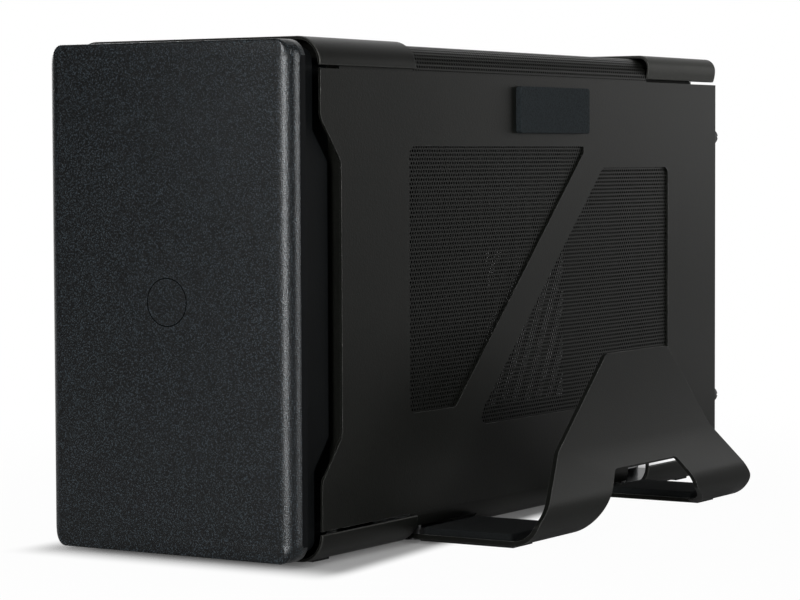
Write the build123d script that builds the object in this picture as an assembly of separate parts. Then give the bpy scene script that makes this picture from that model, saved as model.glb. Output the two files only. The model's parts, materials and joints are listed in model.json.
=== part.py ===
"""External graphics card enclosure with a side laptop stand, in millimetres.

While the pieces are made, X is zero on the body's middle plane, Y is zero on the front cap's face and grows
towards the rear, and Z is zero on the floor. Before export everything is moved so that the origin is the
middle of the base of the whole object.
"""

import os
from math import acos, atan2, cos, hypot, radians, sin, sqrt, tan

from build123d import *

# Body shell
body_width = 127.0  # over the side panels
body_length = 393.0  # front cap face to the rear edge of the side panels
body_height = 217.0  # over the top and bottom bands
foot_lift = 1.2  # rubber feet under the bands
panel_sheet = 1.0
band_sheet = 1.5
mesh_sheet = 0.5
corner_radius = 11.5  # long edges of the bands
roll_radius = 6.0  # rear top band's own round
roll_tuck = 1.2  # how far the rear top band's lower edges turn in
band_lip = 0.5  # straight edge below the corner
seam = 1.4  # gap between a band and a side panel
fit_gap = 0.1  # between parts that are put together by hand
front_band_length = 75.0
rear_band_length = 76.0
body_foot_width = 18.0
body_foot_length = 12.0
body_foot_inset = 10.0  # from the end of a band

# Front cap and frame
cap_side_gap = 0.1
cap_drop = 1.8  # how far the cap stays below the bands
cap_depth = 9.5
cap_wall = 2.0
cap_corner = 8.0
cap_bevel = 4.3
ring_inset = 3.5
ring_drop = 4.5
ring_depth = 10.0
ring_corner = 6.0
ring_wall = 8.0
neck_step = 4.0  # how far the neck behind the ring steps in
neck_depth = 17.5
flank_depth = 11.0
frame_post = 2.0  # radius of the posts that carry the cap

# Side panels
panel_gap = 1.0  # from the frame's ring to the panels and bands
notch_depth = 15.3
notch_outer = 75.0  # half heights of the notch in the front edge
notch_inner = 57.0
notch_round = 6.0
panel_flange = 10.0
front_window_inset = 68.9
front_window_below = 31.8  # from the panel's top edge
front_window_above = 43.2  # from the panel's bottom edge
rear_window_inset = 55.2
rear_window_below = 42.1
rear_window_above = 33.4
bar_angle = 43.0  # slanted bar between the windows, from the horizontal
bar_width = 18.6
bar_foot = 38.2  # length of the front window's lower edge
window_end = 2.8  # upright edge of the front window above the bar
window_round = 4.0
mesh_margin = 4.0
mesh_hole = 3.4  # circumradius of a hexagonal mesh hole
mesh_pitch = 12.4
top_mesh_pitch = 18.6
tab_length = 14.0
tab_height = 4.0
tab_inset = 50.0
tab_gap = 0.2
pad_inset = 162.0
pad_length = 66.7
pad_drop = 4.4
pad_height = 21.4
pad_thickness = 2.8
pad_round = 1.0
thumb_above = 28.6  # lower thumbscrew, from the panel's bottom edge
thumb_below = 26.8  # upper thumbscrew, from the panel's top edge
thumb_inset = 4.2  # thumbscrew's axis, from the panel's inner face
thumb_radius = 4.2
thumb_head = 5.0
thumb_slot = 0.8
thread_length = 2.0
screw_radius = 1.6
screw_clearance = 0.08

# Chassis
chassis_sheet = 1.2
chassis_gap = 1.1  # between a side panel and the chassis
bulkhead_gap = 0.3  # between a side panel and the bulkhead
rear_recess = 26.2  # depth of the hood behind the rear panel
floor_side = 12.0  # height of the floor's upturned sides
rail_height = 15.0
rail_flange = 9.0
band_post = 4.0
band_post_x = 36.0

# Laptop stand
laptop_gap = 47.2  # between the side panel and the upright plate
stand_sheet = 2.0
stand_shift = 1.5  # from the middle between the bands
stand_lean = 5.7  # from the start of the curl to the upright plate
stand_curl = 14.0
stand_bend_z = 40.0
stand_top_z = 80.0
stand_lift = 2.0  # rubber under the tongues
stand_top_half = 30.5
stand_clear = 4.25  # from the stand to the bottom bands, before the shift
tongue_width = 48.5
stand_foot_z = 12.0
stand_round = 6.0
arch_top_z = 28.6
arch_top_half = 30.4
arch_round = 5.0
arch_flare = 10.0  # the arch spreads at the rear, round the curl
arch_flare_z = 12.0
tongue_reach = 115.0  # how far the tongues go under the body
stand_pad_thickness = 3.2
stand_pad_edge = 1.2
stand_pad_lap = 2.0
stand_foot_length = 58.0
stand_foot_width = 17.0
stand_foot_inset = 7.2  # from the end of the stand
stand_foot_back = 3.5  # from the curl
bracket_sheet = 1.5
bracket_width = 24.0
bracket_length = 26.0
bracket_flange = 9.0
bracket_inset = 3.0
bracket_edge = 1.5  # from the end of the stand
bracket_screw_inset = 6.0
stand_screw_head = 1.2
stand_head_radius = 3.0
stand_screw_clearance = 0.2
pan_lap = 3.0  # bottom pan inside the bottom bands
pan_clear = 0.8  # round the tongues and their pads
pan_hatch = 20.0  # opening in the pan's right wall, before the rear band

# Fans
pin_radius = 1.5
pin_clearance = 0.05
hub_gap = 0.5
blade_sheet = 1.2
strut = 3.0
tip_gap = 1.5
fan_wall = 1.5
fan_corner = 4.0
fan_hole = 2.3
fan_size = 92.0
fan_depth = 25.0
fan_boss = 5.0
fan_hub = 17.0
fan_screw_inset = 4.75
fan_screw_head = 3.6
fan_screw_length = 8.0
fan_blades = 9
fan_slant = 40.0  # degrees
fan_chord = 24.0

# Main board
standoff_height = 4.2
standoff_radius = 3.0
standoff_inset = 6.0
board_sheet = 1.6
main_margin = 2.0
main_length = 168.8
port_inset = 12.0
port_pitch = 18.0
port_proud = 0.4
port_wall = 0.4
port_clearance = 0.3
host_width = 9.0
host_height = 3.4
host_depth = 9.0
accessory_width = 13.4
accessory_height = 6.0
accessory_depth = 14.0
chip_sink_width = 36.0
chip_sink_length = 40.0
chip_sink_height = 15.0
chip_sink_base = 3.0
chip_sink_fin = 1.6
chip_sink_fins = 7
slot_length = 89.0
slot_width = 7.4
slot_height = 11.0
slot_back = 52.8  # from the rear panel
slot_wall = 2.0
edge_depth = 8.0

# Graphics card
card_inset = 22.5  # from the right panel to the board's component face
card_clear = 1.4  # between the slot and the card's lower edge
card_fan_room = 34.8  # between the case fan and the card
card_height = 107.0
backplate_gap = 2.0
backplate_sheet = 1.2
card_post = 3.0
card_post_inset = 5.0
chip_height = 2.0
chip_size = 44.0
shroud_gap = 0.7  # to the power supply
shroud_wall = 1.5
shroud_edge = 4.0
card_fan_radius = 39.0
card_fan_hub = 14.0
card_fan_depth = 6.0
card_fan_blades = 11
card_fan_slant = 32.0
card_fan_chord = 15.0
card_fan_inset = 46.0
card_fan_pitch = 84.0
fin_pitch = 4.0
fin_sheet = 0.8
fin_margin = 12.0
sink_base = 4.0
socket_inset = 40.0
socket_length = 18.0
socket_width = 10.0
socket_height = 12.0
card_bracket_sheet = 0.9
card_bracket_height = 118.0
bracket_rim = 6.0
bracket_vents = 4
bracket_vent = 5.0
bracket_bar = 4.0
display_sockets = 3
ledge_depth = 11.0
ledge_screw = 3.4
ledge_screw_inset = 10.0

# Power supply
psu_thickness = 63.5
psu_depth = 100.0
psu_height = 125.0
psu_drop = 2.2  # below the rails
psu_wall = 1.0
psu_rim = 7.0
psu_vent = 2.6  # circumradius of a hexagonal vent
psu_vent_pitch = 7.5
psu_fan_size = 80.0
psu_fan_depth = 15.0
psu_fan_boss = 4.0
psu_fan_hub = 15.0
psu_fan_blades = 9
psu_fan_slant = 36.0
psu_fan_chord = 18.0
psu_board_gap = 4.0
grille_wire = 0.6
ring_count = 5
# coils and heatsinks: Y and Z from the board's lower front corner, then length, height and depth
board_parts = ((18, 26, 24, 30, 22), (20, 76, 30, 34, 26), (52, 58, 14, 80, 30))
inlet_width = 27.0
inlet_height = 20.0
inlet_depth = 17.0
inlet_wall = 1.8
inlet_above = 22.0  # from the supply's underside
inlet_rim = 3.0
socket_flange = 1.5
switch_above = 52.0
switch_width = 13.0
switch_height = 19.0
switch_depth = 12.0
switch_wall = 1.2
switch_rim = 1.5
switch_tilt = 8.0
rocker_gap = 0.9
rocker_pivot = 3.0  # behind the rear panel's inner face
rocker_crown = 4.5
psu_screw_radius = 3.2
psu_screw_head = 2.2

# Leads
lead_radius = 3.5
plug_height = 10.0
card_lead_inset = 6.0  # from the supply's middle
card_lead_drop = 28.0  # below the supply's top
card_lead_run = 44.0
card_lead_side = 36.0
card_lead_rise = 5.0
card_lead_arch = 15.0  # above the supply's top
card_plug_width = 9.0
card_plug_length = 16.0
feed_inset = 18.0
feed_above = 26.0  # from the supply's underside
feed_run = 28.0
feed_reach = 20.0  # from the main board's front edge
feed_plug_width = 18.0
feed_plug_length = 10.0

# Worked out from the driving sizes
half_width = body_width / 2
z_low = foot_lift
z_high = foot_lift + body_height
z_mid = (z_low + z_high) / 2
band_depth = corner_radius + band_lip
panel_low = z_low + band_depth + seam
band_low = z_high - band_depth
panel_high = band_low - seam
panel_inner = half_width - panel_sheet
ring_end = cap_depth + ring_depth
panel_front = ring_end + panel_gap
bulkhead_y = ring_end + neck_depth
rear_y = body_length - rear_recess
rear_face = rear_y + chassis_sheet
front_band_end = panel_front + front_band_length
rear_band_start = body_length - rear_band_length
mesh_inset = band_sheet + fit_gap
mesh_low = panel_high - seam
chassis_half = panel_inner - chassis_gap
wall_half = chassis_half - chassis_sheet
floor_low = panel_low
floor_top = floor_low + chassis_sheet
rail_low = mesh_low - rail_height


def block(x0, x1, y0, y1, z0, z1):
    return Pos((x0 + x1) / 2, (y0 + y1) / 2, (z0 + z1) / 2) * Box(x1 - x0, y1 - y0, z1 - z0)


def rod_x(x0, x1, y, z, radius):
    return Pos((x0 + x1) / 2, y, z) * Rot(0, 90, 0) * Cylinder(radius, x1 - x0)


def rod_y(x, y0, y1, z, radius):
    return Pos(x, (y0 + y1) / 2, z) * Rot(90, 0, 0) * Cylinder(radius, y1 - y0)


def rod_z(x, y, z0, z1, radius):
    return Pos(x, y, (z0 + z1) / 2) * Cylinder(radius, z1 - z0)


def prism_x(sketch, x0, x1):
    """A sketch drawn in (Y, Z), carried from x0 to x1."""
    return extrude(Plane.YZ.offset(x0) * sketch, x1 - x0)


def prism_y(sketch, y0, y1):
    """A sketch drawn in (X, Z), carried from y0 to y1."""
    return extrude(Plane.XZ.offset(-y0) * sketch, -(y1 - y0))


def prism_z(sketch, z0, z1):
    """A sketch drawn in (X, Y), carried from z0 to z1."""
    return extrude(Plane.XY.offset(z0) * sketch, z1 - z0)


def largest_round(a, b, c):
    """Largest radius at b that leaves some of both straight runs, a to b and b to c."""
    before = Vector(*b) - Vector(*a)
    after = Vector(*c) - Vector(*b)
    half_turn = radians(before.get_angle(after)) / 2
    return 0.45 * min(before.length, after.length) / tan(half_turn)


def outline(points, radius=0.0, sharp=()):
    """A face from its corners, rounded as far as the sides allow, apart from the corners listed as sharp."""
    neighbours = zip(points[-1:] + points[:-1], points, points[1:] + points[:1])
    radii = [min(radius, largest_round(*corner)) for corner in neighbours]
    for corner in sharp:
        radii[corner] = 0.0
    return make_face(FilletPolyline(*points, radius=radii, close=True))


def mirror_x(shape):
    return mirror(shape, about=Plane.YZ)


def both_sides(shape):
    return shape + mirror_x(shape)


def inside(point, corners, margin):
    """True where a point lies at least margin inside a convex outline with anticlockwise corners."""
    y, z = point
    for (y0, z0), (y1, z1) in zip(corners, corners[1:] + corners[:1]):
        if (y1 - y0) * (z - z0) - (z1 - z0) * (y - y0) < margin * hypot(y1 - y0, z1 - z0):
            return False
    return True


def staggered(u0, u1, v0, v1, pitch):
    """Points of a staggered grid over a rectangle."""
    row_pitch = pitch * sqrt(3) / 2
    for row in range(int((v1 - v0) / row_pitch) + 1):
        start = u0 + 0.5 * pitch * (row % 2)
        for column in range(int((u1 - start) / pitch) + 1):
            yield start + column * pitch, v0 + row * row_pitch


def hexagons(points, radius):
    return Sketch() + [Pos(*point) * RegularPolygon(radius, 6) for point in points]


nodes = {}


# Bands and top mesh
def skin(inset, thickness):
    """Closed section of a sheet that follows the body's rounded outline, inset from it."""
    outer = RectangleRounded(body_width - 2 * inset, body_height - 2 * inset, corner_radius - inset)
    deep = inset + thickness
    inner = RectangleRounded(body_width - 2 * deep, body_height - 2 * deep, corner_radius - deep)
    return Pos(0, z_mid) * (outer - inner)


def top_part(section, y0, y1, low):
    return prism_y(section, y0, y1) & block(-body_width, body_width, y0, y1, low, z_high)


def bottom_part(section, y0, y1, high):
    return prism_y(section, y0, y1) & block(-body_width, body_width, y0, y1, z_low, high)


band_section = skin(0, band_sheet)
band_spans = {"front": (panel_front, front_band_end), "rear": (rear_band_start, body_length)}
for place, (y0, y1) in band_spans.items():
    nodes[f"bottom_{place}_band"] = bottom_part(band_section, y0, y1, z_low + band_depth)
nodes["top_front_band"] = top_part(band_section, *band_spans["front"], band_low)

roll_z = z_high - roll_radius
turn_radius = ((roll_z - band_low) ** 2 + roll_tuck**2) / (2 * roll_tuck)
turn_x = half_width - turn_radius


def rolled(inset):
    """Outline of the rear top band, inset: a tight round above, and sides that turn in below it."""
    below = Pos(0, (mesh_low + roll_z) / 2) * Rectangle(body_width, roll_z - mesh_low)
    sides = Sketch() + [Pos(x, roll_z) * Circle(turn_radius - inset) for x in (-turn_x, turn_x)]
    middle = Pos(0, roll_z) * Rectangle(2 * turn_x, 2 * (roll_z - mesh_low))
    upper = Pos(0, roll_z) * SlotOverall(body_width - 2 * inset, 2 * (roll_radius - inset))
    return upper + ((sides + middle) & below)


nodes["top_rear_band"] = top_part(rolled(0) - rolled(band_sheet), *band_spans["rear"], band_low)
roll_front = rear_band_start - fit_gap
roll_room = top_part(rolled(0) - rolled(band_sheet + fit_gap), roll_front, body_length, band_low - fit_gap)
roll_room &= block(-body_width, body_width, roll_front, body_length, z_low, roll_z)

hole_half = half_width - corner_radius - mesh_hole
hole_start = front_band_end + 2 * mesh_hole
hole_end = rear_band_start - 2 * mesh_hole
top_holes = hexagons(staggered(-hole_half, hole_half, hole_start, hole_end, top_mesh_pitch), mesh_hole)
top_mesh = top_part(skin(mesh_inset, mesh_sheet), bulkhead_y, rear_face, mesh_low)
nodes["top_mesh"] = top_mesh - prism_z(top_holes, z_mid, z_high) - roll_room

foot_x = half_width - corner_radius - body_foot_width / 2
foot_spots = [panel_front + body_foot_inset, body_length - body_foot_inset - body_foot_length]
nodes["body_feet"] = Compound(
    [
        block(x - body_foot_width / 2, x + body_foot_width / 2, y, y + body_foot_length, 0, foot_lift)
        for x in (-foot_x, foot_x)
        for y in foot_spots
    ]
)

# Front cap: a moulded cover with bevelled upright edges, open towards the rear
cap_width = body_width - 2 * cap_side_gap
cap_height = body_height - 2 * cap_drop
cap_half = cap_width / 2
cap_outline = Pos(0, z_mid) * RectangleRounded(cap_width, cap_height, cap_corner)
cap_hollow = Pos(0, z_mid) * RectangleRounded(
    cap_width - 2 * cap_wall, cap_height - 2 * cap_wall, cap_corner - cap_wall
)


def cap_section(half, face, bevel):
    """Plan of a cap with both front corners cut off, from its face to the cap's rear edge."""
    corners = [(half, cap_depth), (half, face + bevel), (half - bevel, face)]
    return outline(corners + [(-x, y) for x, y in reversed(corners)])


bevel_shift = cap_wall * (2 - sqrt(2))  # the wall keeps its thickness along the bevel
front_cap = prism_y(cap_outline, 0, cap_depth) & prism_z(cap_section(cap_half, 0, cap_bevel), z_low, z_high)
cap_core = prism_y(cap_hollow, cap_wall, cap_depth)
cap_core &= prism_z(cap_section(cap_half - cap_wall, cap_wall, cap_bevel - bevel_shift), z_low, z_high)
nodes["front_cap"] = front_cap - cap_core

# Front frame: ring behind the cap, stepped-in neck to the bulkhead, a flank on each side, posts for the cap
ring_width = body_width - 2 * ring_inset
ring_height = body_height - 2 * ring_drop
ring = RectangleRounded(ring_width, ring_height, ring_corner)
neck = RectangleRounded(ring_width - 2 * neck_step, ring_height - 2 * neck_step, ring_corner)
frame_opening = RectangleRounded(ring_width - 2 * ring_wall, ring_height - 2 * ring_wall, ring_corner)
front_frame = prism_y(Pos(0, z_mid) * (ring - frame_opening), cap_depth, ring_end)
front_frame += prism_y(Pos(0, z_mid) * (neck - frame_opening), ring_end, bulkhead_y)
flank_reach = notch_inner + flank_depth * (notch_outer - notch_inner) / notch_depth
flank = outline(
    [
        (ring_end, z_mid - flank_reach),
        (ring_end + flank_depth, z_mid - notch_inner),
        (ring_end + flank_depth, z_mid + notch_inner),
        (ring_end, z_mid + flank_reach),
    ]
)
front_frame += both_sides(prism_x(flank, ring_width / 2 - neck_step, ring_width / 2))
post_x = (ring_width - ring_wall) / 2
post_z = ring_height / 2 - 2 * ring_wall
for z in (z_mid - post_z, z_mid + post_z):
    front_frame += both_sides(rod_y(post_x, cap_wall, cap_depth, z, frame_post))
nodes["front_frame"] = front_frame

# Side panels with two meshed windows divided by a slanted bar
bar_slope = 1 / tan(radians(bar_angle))  # change of Y for each unit of Z along the bar
front_window_y = panel_front + front_window_inset
front_window_low = panel_low + front_window_above
front_window_high = panel_high - front_window_below
bar_foot_y = front_window_y + bar_foot
bar_top = front_window_high - window_end
front_window_end = bar_foot_y + (bar_top - front_window_low) * bar_slope
front_window = [
    (front_window_y, front_window_low),
    (bar_foot_y, front_window_low),
    (front_window_end, bar_top),
    (front_window_end, front_window_high),
    (front_window_y, front_window_high),
]
rear_foot_y = bar_foot_y + bar_width / sin(radians(bar_angle))
rear_window_end = body_length - rear_window_inset
rear_window_low = panel_low + rear_window_above
rear_window_high = panel_high - rear_window_below
rear_window = [
    (rear_foot_y + (rear_window_low - front_window_low) * bar_slope, rear_window_low),
    (rear_window_end, rear_window_low),
    (rear_window_end, rear_window_high),
    (rear_foot_y + (rear_window_high - front_window_low) * bar_slope, rear_window_high),
]
notch_y = panel_front + notch_depth
panel_corners = [
    (panel_front, panel_low),
    (body_length, panel_low),
    (body_length, panel_high),
    (panel_front, panel_high),
    (panel_front, z_mid + notch_outer),
    (notch_y, z_mid + notch_inner),
    (notch_y, z_mid - notch_inner),
    (panel_front, z_mid - notch_outer),
]
panel_face = outline(panel_corners, notch_round, sharp=range(4))
panel_face = panel_face - outline(front_window, window_round) - outline(rear_window, window_round)
right_panel = prism_x(panel_face, panel_inner, half_width)
thumb_x = panel_inner - thumb_inset
thumb_heights = (panel_low + thumb_above, panel_high - thumb_below)
flange_front = body_length - panel_sheet
flange_inner = panel_inner - panel_flange
right_panel += block(flange_inner, panel_inner, flange_front, body_length, panel_low, panel_high)
screw_hole = screw_radius + screw_clearance
for z in thumb_heights:
    right_panel -= rod_y(thumb_x, flange_front, body_length, z, screw_hole)
tab_x = chassis_half + tab_gap
tab_spots = (panel_front + tab_inset, (panel_front + rear_y) / 2, rear_y - tab_inset)
for y in tab_spots:
    for z in (floor_top + tab_height, mesh_low - 2 * tab_height):
        right_panel += block(tab_x, panel_inner, y, y + tab_length, z, z + tab_height)
nodes["right_side_panel"] = right_panel
nodes["left_side_panel"] = mirror_x(right_panel)


def window_mesh(corners):
    """Perforated plate behind a window, with coarse hexagonal holes."""
    ys = [y for y, z in corners]
    zs = [z for y, z in corners]
    spots = staggered(min(ys), max(ys), min(zs) + mesh_hole, max(zs), mesh_pitch)
    holes = hexagons([spot for spot in spots if inside(spot, corners, mesh_hole)], mesh_hole)
    plate = offset(outline(corners), mesh_margin)
    return prism_x(plate - holes, panel_inner - mesh_sheet, panel_inner)


for place, corners in (("front", front_window), ("rear", rear_window)):
    mesh = window_mesh(corners)
    nodes[f"right_{place}_mesh"] = mesh
    nodes[f"left_{place}_mesh"] = mirror_x(mesh)

pad_y = panel_front + pad_inset
pad_high = panel_high - pad_drop
pad_middle = Pos(pad_y + pad_length / 2, pad_high - pad_height / 2)
pad_face = pad_middle * RectangleRounded(pad_length, pad_height, pad_round)
nodes["side_pad"] = prism_x(pad_face, half_width, half_width + pad_thickness)

return_end = flange_front - tab_gap  # rear edge of the chassis behind the panel's flange


def thumb_screw(x, z):
    head_end = body_length + thumb_head
    screw = rod_y(x, return_end - thread_length, body_length, z, screw_radius)
    screw += rod_y(x, body_length, head_end, z, thumb_radius)
    slot_half = thumb_slot / 2
    return screw - block(
        x - thumb_radius, x + thumb_radius, head_end - thumb_slot, head_end, z - slot_half, z + slot_half
    )


for place, x in (("right", thumb_x), ("left", -thumb_x)):
    nodes[f"{place}_panel_screws"] = Compound([thumb_screw(x, z) for z in thumb_heights])

# Chassis: floor tray with posts for the bottom bands, bulkhead and top rails
fan_front = bulkhead_y + chassis_sheet
rear_inset = mesh_inset + mesh_sheet
inner_outline = Pos(0, z_mid) * RectangleRounded(
    body_width - 2 * rear_inset, body_height - 2 * rear_inset, corner_radius - rear_inset
)


def cross_wall(y0, y1, low):
    """Plate across the body, under the top mesh."""
    return prism_y(inner_outline, y0, y1) & block(-chassis_half, chassis_half, y0, y1, low, z_high)


floor = block(-chassis_half, chassis_half, bulkhead_y, rear_y, floor_low, floor_top)
floor += both_sides(block(wall_half, chassis_half, fan_front, rear_y, floor_top, floor_top + floor_side))
for y in ((bulkhead_y + front_band_end) / 2, (rear_band_start + rear_y) / 2):
    floor += both_sides(rod_z(band_post_x, y, z_low + band_sheet, floor_low, band_post))
nodes["chassis_floor"] = floor

fan_bore = fan_size / 2 - fan_wall
fan_reach = fan_size / 2 - fan_screw_inset
fan_corners = [(sx * fan_reach, z_mid + sz * fan_reach) for sx in (-1, 1) for sz in (-1, 1)]
bulkhead_half = panel_inner - bulkhead_gap
bulkhead = cross_wall(bulkhead_y, fan_front, floor_top)
bulkhead += both_sides(block(chassis_half, bulkhead_half, bulkhead_y, fan_front, floor_top, mesh_low))
bulkhead -= rod_y(0, bulkhead_y, fan_front, z_mid, fan_bore)
for x, z in fan_corners:
    bulkhead -= rod_y(x, bulkhead_y, fan_front, z, fan_hole)
nodes["front_bulkhead"] = bulkhead

rail = block(wall_half, chassis_half, fan_front, rear_y, rail_low, band_low - fit_gap)
rail += block(chassis_half - rail_flange, chassis_half, fan_front, rear_y, rail_low - chassis_sheet, rail_low)
nodes["right_top_rail"] = rail
nodes["left_top_rail"] = mirror_x(rail)

# Main board with its slot, ports and controller
main_low = floor_top + standoff_height
main_high = main_low + board_sheet
main_half = wall_half - main_margin
main_rear = rear_y - main_margin
main_front = main_rear - main_length
nodes["main_board"] = block(-main_half, main_half, main_front, main_rear, main_low, main_high)
nodes["board_standoffs"] = Compound(
    [
        rod_z(x, y, floor_top, main_low, standoff_radius)
        for x in (standoff_inset - main_half, main_half - standoff_inset)
        for y in (main_front + standoff_inset, main_rear - 3 * standoff_inset)
    ]
)
card_x = panel_inner - card_inset
card_back = card_x + board_sheet
slot_x = card_x + board_sheet / 2
slot_end = rear_y - slot_back
slot_front = slot_end - slot_length
slot_top = main_high + slot_height
card_slot = block(slot_x - slot_width / 2, slot_x + slot_width / 2, slot_front, slot_end, main_high, slot_top)
card_slot -= block(
    card_x - fit_gap,
    card_back + fit_gap,
    slot_front + slot_wall,
    slot_end - slot_wall,
    slot_top - edge_depth - fit_gap,
    slot_top,
)
nodes["card_slot"] = card_slot


def port(x, width, height, depth):
    """Hollow metal port shell on the board, with a tongue inside, open to the rear."""
    face = rear_face + port_proud
    high = main_high + height
    middle = main_high + height / 2
    made = block(x - width / 2, x + width / 2, face - depth, face, main_high, high)
    made -= block(
        x - width / 2 + port_wall,
        x + width / 2 - port_wall,
        face - depth + port_wall,
        face,
        main_high + port_wall,
        high - port_wall,
    )
    tongue_half = width / 3
    tongue_end = face - 2 * port_proud
    return made + block(
        x - tongue_half, x + tongue_half, face - depth, tongue_end, middle - port_wall, middle + port_wall
    )


host_x = port_inset - main_half
accessory_spots = [host_x + port_pitch, host_x + 2 * port_pitch]
nodes["host_port"] = port(host_x, host_width, host_height, host_depth)
nodes["accessory_ports"] = Compound(
    [port(x, accessory_width, accessory_height, accessory_depth) for x in accessory_spots]
)
sink_x = accessory_spots[0]
sink_gap = (chip_sink_width - chip_sink_fin) / (chip_sink_fins - 1)
chip_fin = Pos(0, chip_sink_height / 2) * Rectangle(chip_sink_fin, chip_sink_height)
sink_fins = [Pos((i - (chip_sink_fins - 1) / 2) * sink_gap, 0) * chip_fin for i in range(chip_sink_fins)]
sink_profile = Pos(0, chip_sink_base / 2) * Rectangle(chip_sink_width, chip_sink_base) + sink_fins
sink_front = main_front + chip_sink_length
nodes["controller_heatsink"] = prism_y(
    Pos(sink_x, main_high) * sink_profile, sink_front, sink_front + chip_sink_length
)

# Power supply
psu_x0 = fit_gap - wall_half
psu_x1 = psu_x0 + psu_thickness
psu_x = (psu_x0 + psu_x1) / 2
psu_high = rail_low - chassis_sheet - psu_drop
psu_low = psu_high - psu_height
psu_front = rear_y - psu_depth
psu_fan_y = psu_front + 2 * psu_wall + psu_fan_size / 2
psu_fan_z = (psu_low + psu_high) / 2
psu_fan_bore = psu_fan_size / 2 - fan_wall
inlet_z = psu_low + inlet_above
switch_z = psu_low + switch_above
psu_case = block(psu_x0, psu_x1, psu_front, rear_y, psu_low, psu_high)
psu_case -= block(
    psu_x0 + psu_wall,
    psu_x1,
    psu_front + psu_wall,
    rear_y - psu_wall,
    psu_low + psu_wall,
    psu_high - psu_wall,
)
psu_case -= rod_x(psu_x0, psu_x0 + psu_wall, psu_fan_y, psu_fan_z, psu_fan_bore)


def centred(x, z, width, height, y0, y1):
    return block(x - width / 2, x + width / 2, y0, y1, z - height / 2, z + height / 2)


back_wall = (rear_y - psu_wall, rear_y)
psu_case -= centred(psu_x, inlet_z, inlet_width + 2 * fit_gap, inlet_height + 2 * fit_gap, *back_wall)
psu_case -= centred(psu_x, switch_z, switch_width + 2 * fit_gap, switch_height + 2 * fit_gap, *back_wall)
vent_low = switch_z + switch_height
vent_x = psu_thickness / 2 - 2 * psu_rim
psu_vents = staggered(psu_x - vent_x, psu_x + vent_x, vent_low, psu_high - 2 * psu_rim, psu_vent_pitch)
psu_case -= prism_y(hexagons(psu_vents, psu_vent), *back_wall)
nodes["psu_case"] = psu_case
lid_edge = psu_wall + fit_gap
nodes["psu_lid"] = block(
    psu_x1 - psu_wall,
    psu_x1,
    psu_front + lid_edge,
    rear_y - lid_edge,
    psu_low + lid_edge,
    psu_high - lid_edge,
)
psu_board_x = psu_x1 - psu_wall - psu_board_gap
board_front = psu_front + psu_wall + psu_board_gap
board_rear = rear_y - inlet_depth - psu_rim
board_low = psu_low + psu_wall + psu_board_gap
board_high = psu_high - psu_wall - psu_board_gap
psu_board = block(psu_board_x - board_sheet, psu_board_x, board_front, board_rear, board_low, board_high)
for y, z, length, tall, deep in board_parts:
    psu_board += block(
        psu_board_x - board_sheet - deep,
        psu_board_x - board_sheet,
        board_front + y - length / 2,
        board_front + y + length / 2,
        board_low + z - tall / 2,
        board_low + z + tall / 2,
    )
for y in (board_front + psu_board_gap, board_rear - psu_board_gap):
    for z in (board_low + psu_board_gap, board_high - psu_board_gap):
        psu_board += rod_x(psu_board_x, psu_x1 - psu_wall, y, z, standoff_radius)
nodes["psu_board"] = psu_board

inlet = centred(psu_x, inlet_z, inlet_width, inlet_height, rear_y - inlet_depth, rear_y)
inlet_face = rear_y + socket_flange
flange_width = inlet_width + 2 * inlet_rim
flange_height = inlet_height + 2 * inlet_rim
inlet += centred(psu_x, inlet_z, flange_width, flange_height, rear_y, inlet_face)
inlet_floor = rear_y - inlet_depth + inlet_wall
inlet -= centred(
    psu_x, inlet_z, inlet_width - 2 * inlet_wall, inlet_height - 2 * inlet_wall, inlet_floor, inlet_face
)
blade_pitch = inlet_width / 4
blade_end = rear_y - inlet_rim
for step, rise in ((-1, -1), (0, 1), (1, -1)):
    x = psu_x + step * blade_pitch
    z = inlet_z + rise * inlet_wall
    inlet += centred(x, z, inlet_wall, 2 * inlet_wall, inlet_floor, blade_end)
nodes["power_inlet"] = inlet

bezel = centred(psu_x, switch_z, switch_width, switch_height, rear_y - switch_depth, rear_y)
bezel += centred(
    psu_x,
    switch_z,
    switch_width + 2 * switch_rim,
    switch_height + 2 * switch_rim,
    rear_y,
    rear_y + socket_flange,
)
bezel_half = switch_width / 2 - switch_wall
bezel -= centred(
    psu_x,
    switch_z,
    2 * bezel_half,
    switch_height - 2 * switch_wall,
    rear_y - switch_depth + switch_wall,
    rear_y + socket_flange,
)
pivot_y = rear_y - rocker_pivot
pivot_half = bezel_half + switch_wall / 2
bezel -= rod_x(psu_x - pivot_half, psu_x + pivot_half, pivot_y, switch_z, pin_radius + pin_clearance)
nodes["switch_bezel"] = bezel
rocker_half = switch_height / 2 - switch_wall - rocker_gap
rocker_edge = rocker_crown - rocker_half * tan(radians(switch_tilt))
rocker_points = [
    (-pin_radius, pin_radius - rocker_half),
    (rocker_edge, -rocker_half),
    (rocker_crown, 0),
    (rocker_edge, rocker_half),
    (-pin_radius, rocker_half - pin_radius),
]
rocker_wide = bezel_half - hub_gap
rocker = prism_x(outline(rocker_points), -rocker_wide, rocker_wide)
rocker += rod_x(fit_gap - pivot_half, pivot_half - fit_gap, 0, 0, pin_radius)
nodes["power_switch"] = Pos(psu_x, pivot_y, switch_z) * Rot(switch_tilt, 0, 0) * rocker

screw_inset = psu_rim / 2
nodes["psu_screws"] = Compound(
    [
        rod_y(x, rear_face, rear_face + psu_screw_head, z, psu_screw_radius)
        for x in (psu_x0 + screw_inset, psu_x1 - screw_inset)
        for z in (psu_low + screw_inset, psu_high - screw_inset)
    ]
)


# Fans
diagonals = (45, 135, 225, 315)


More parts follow.
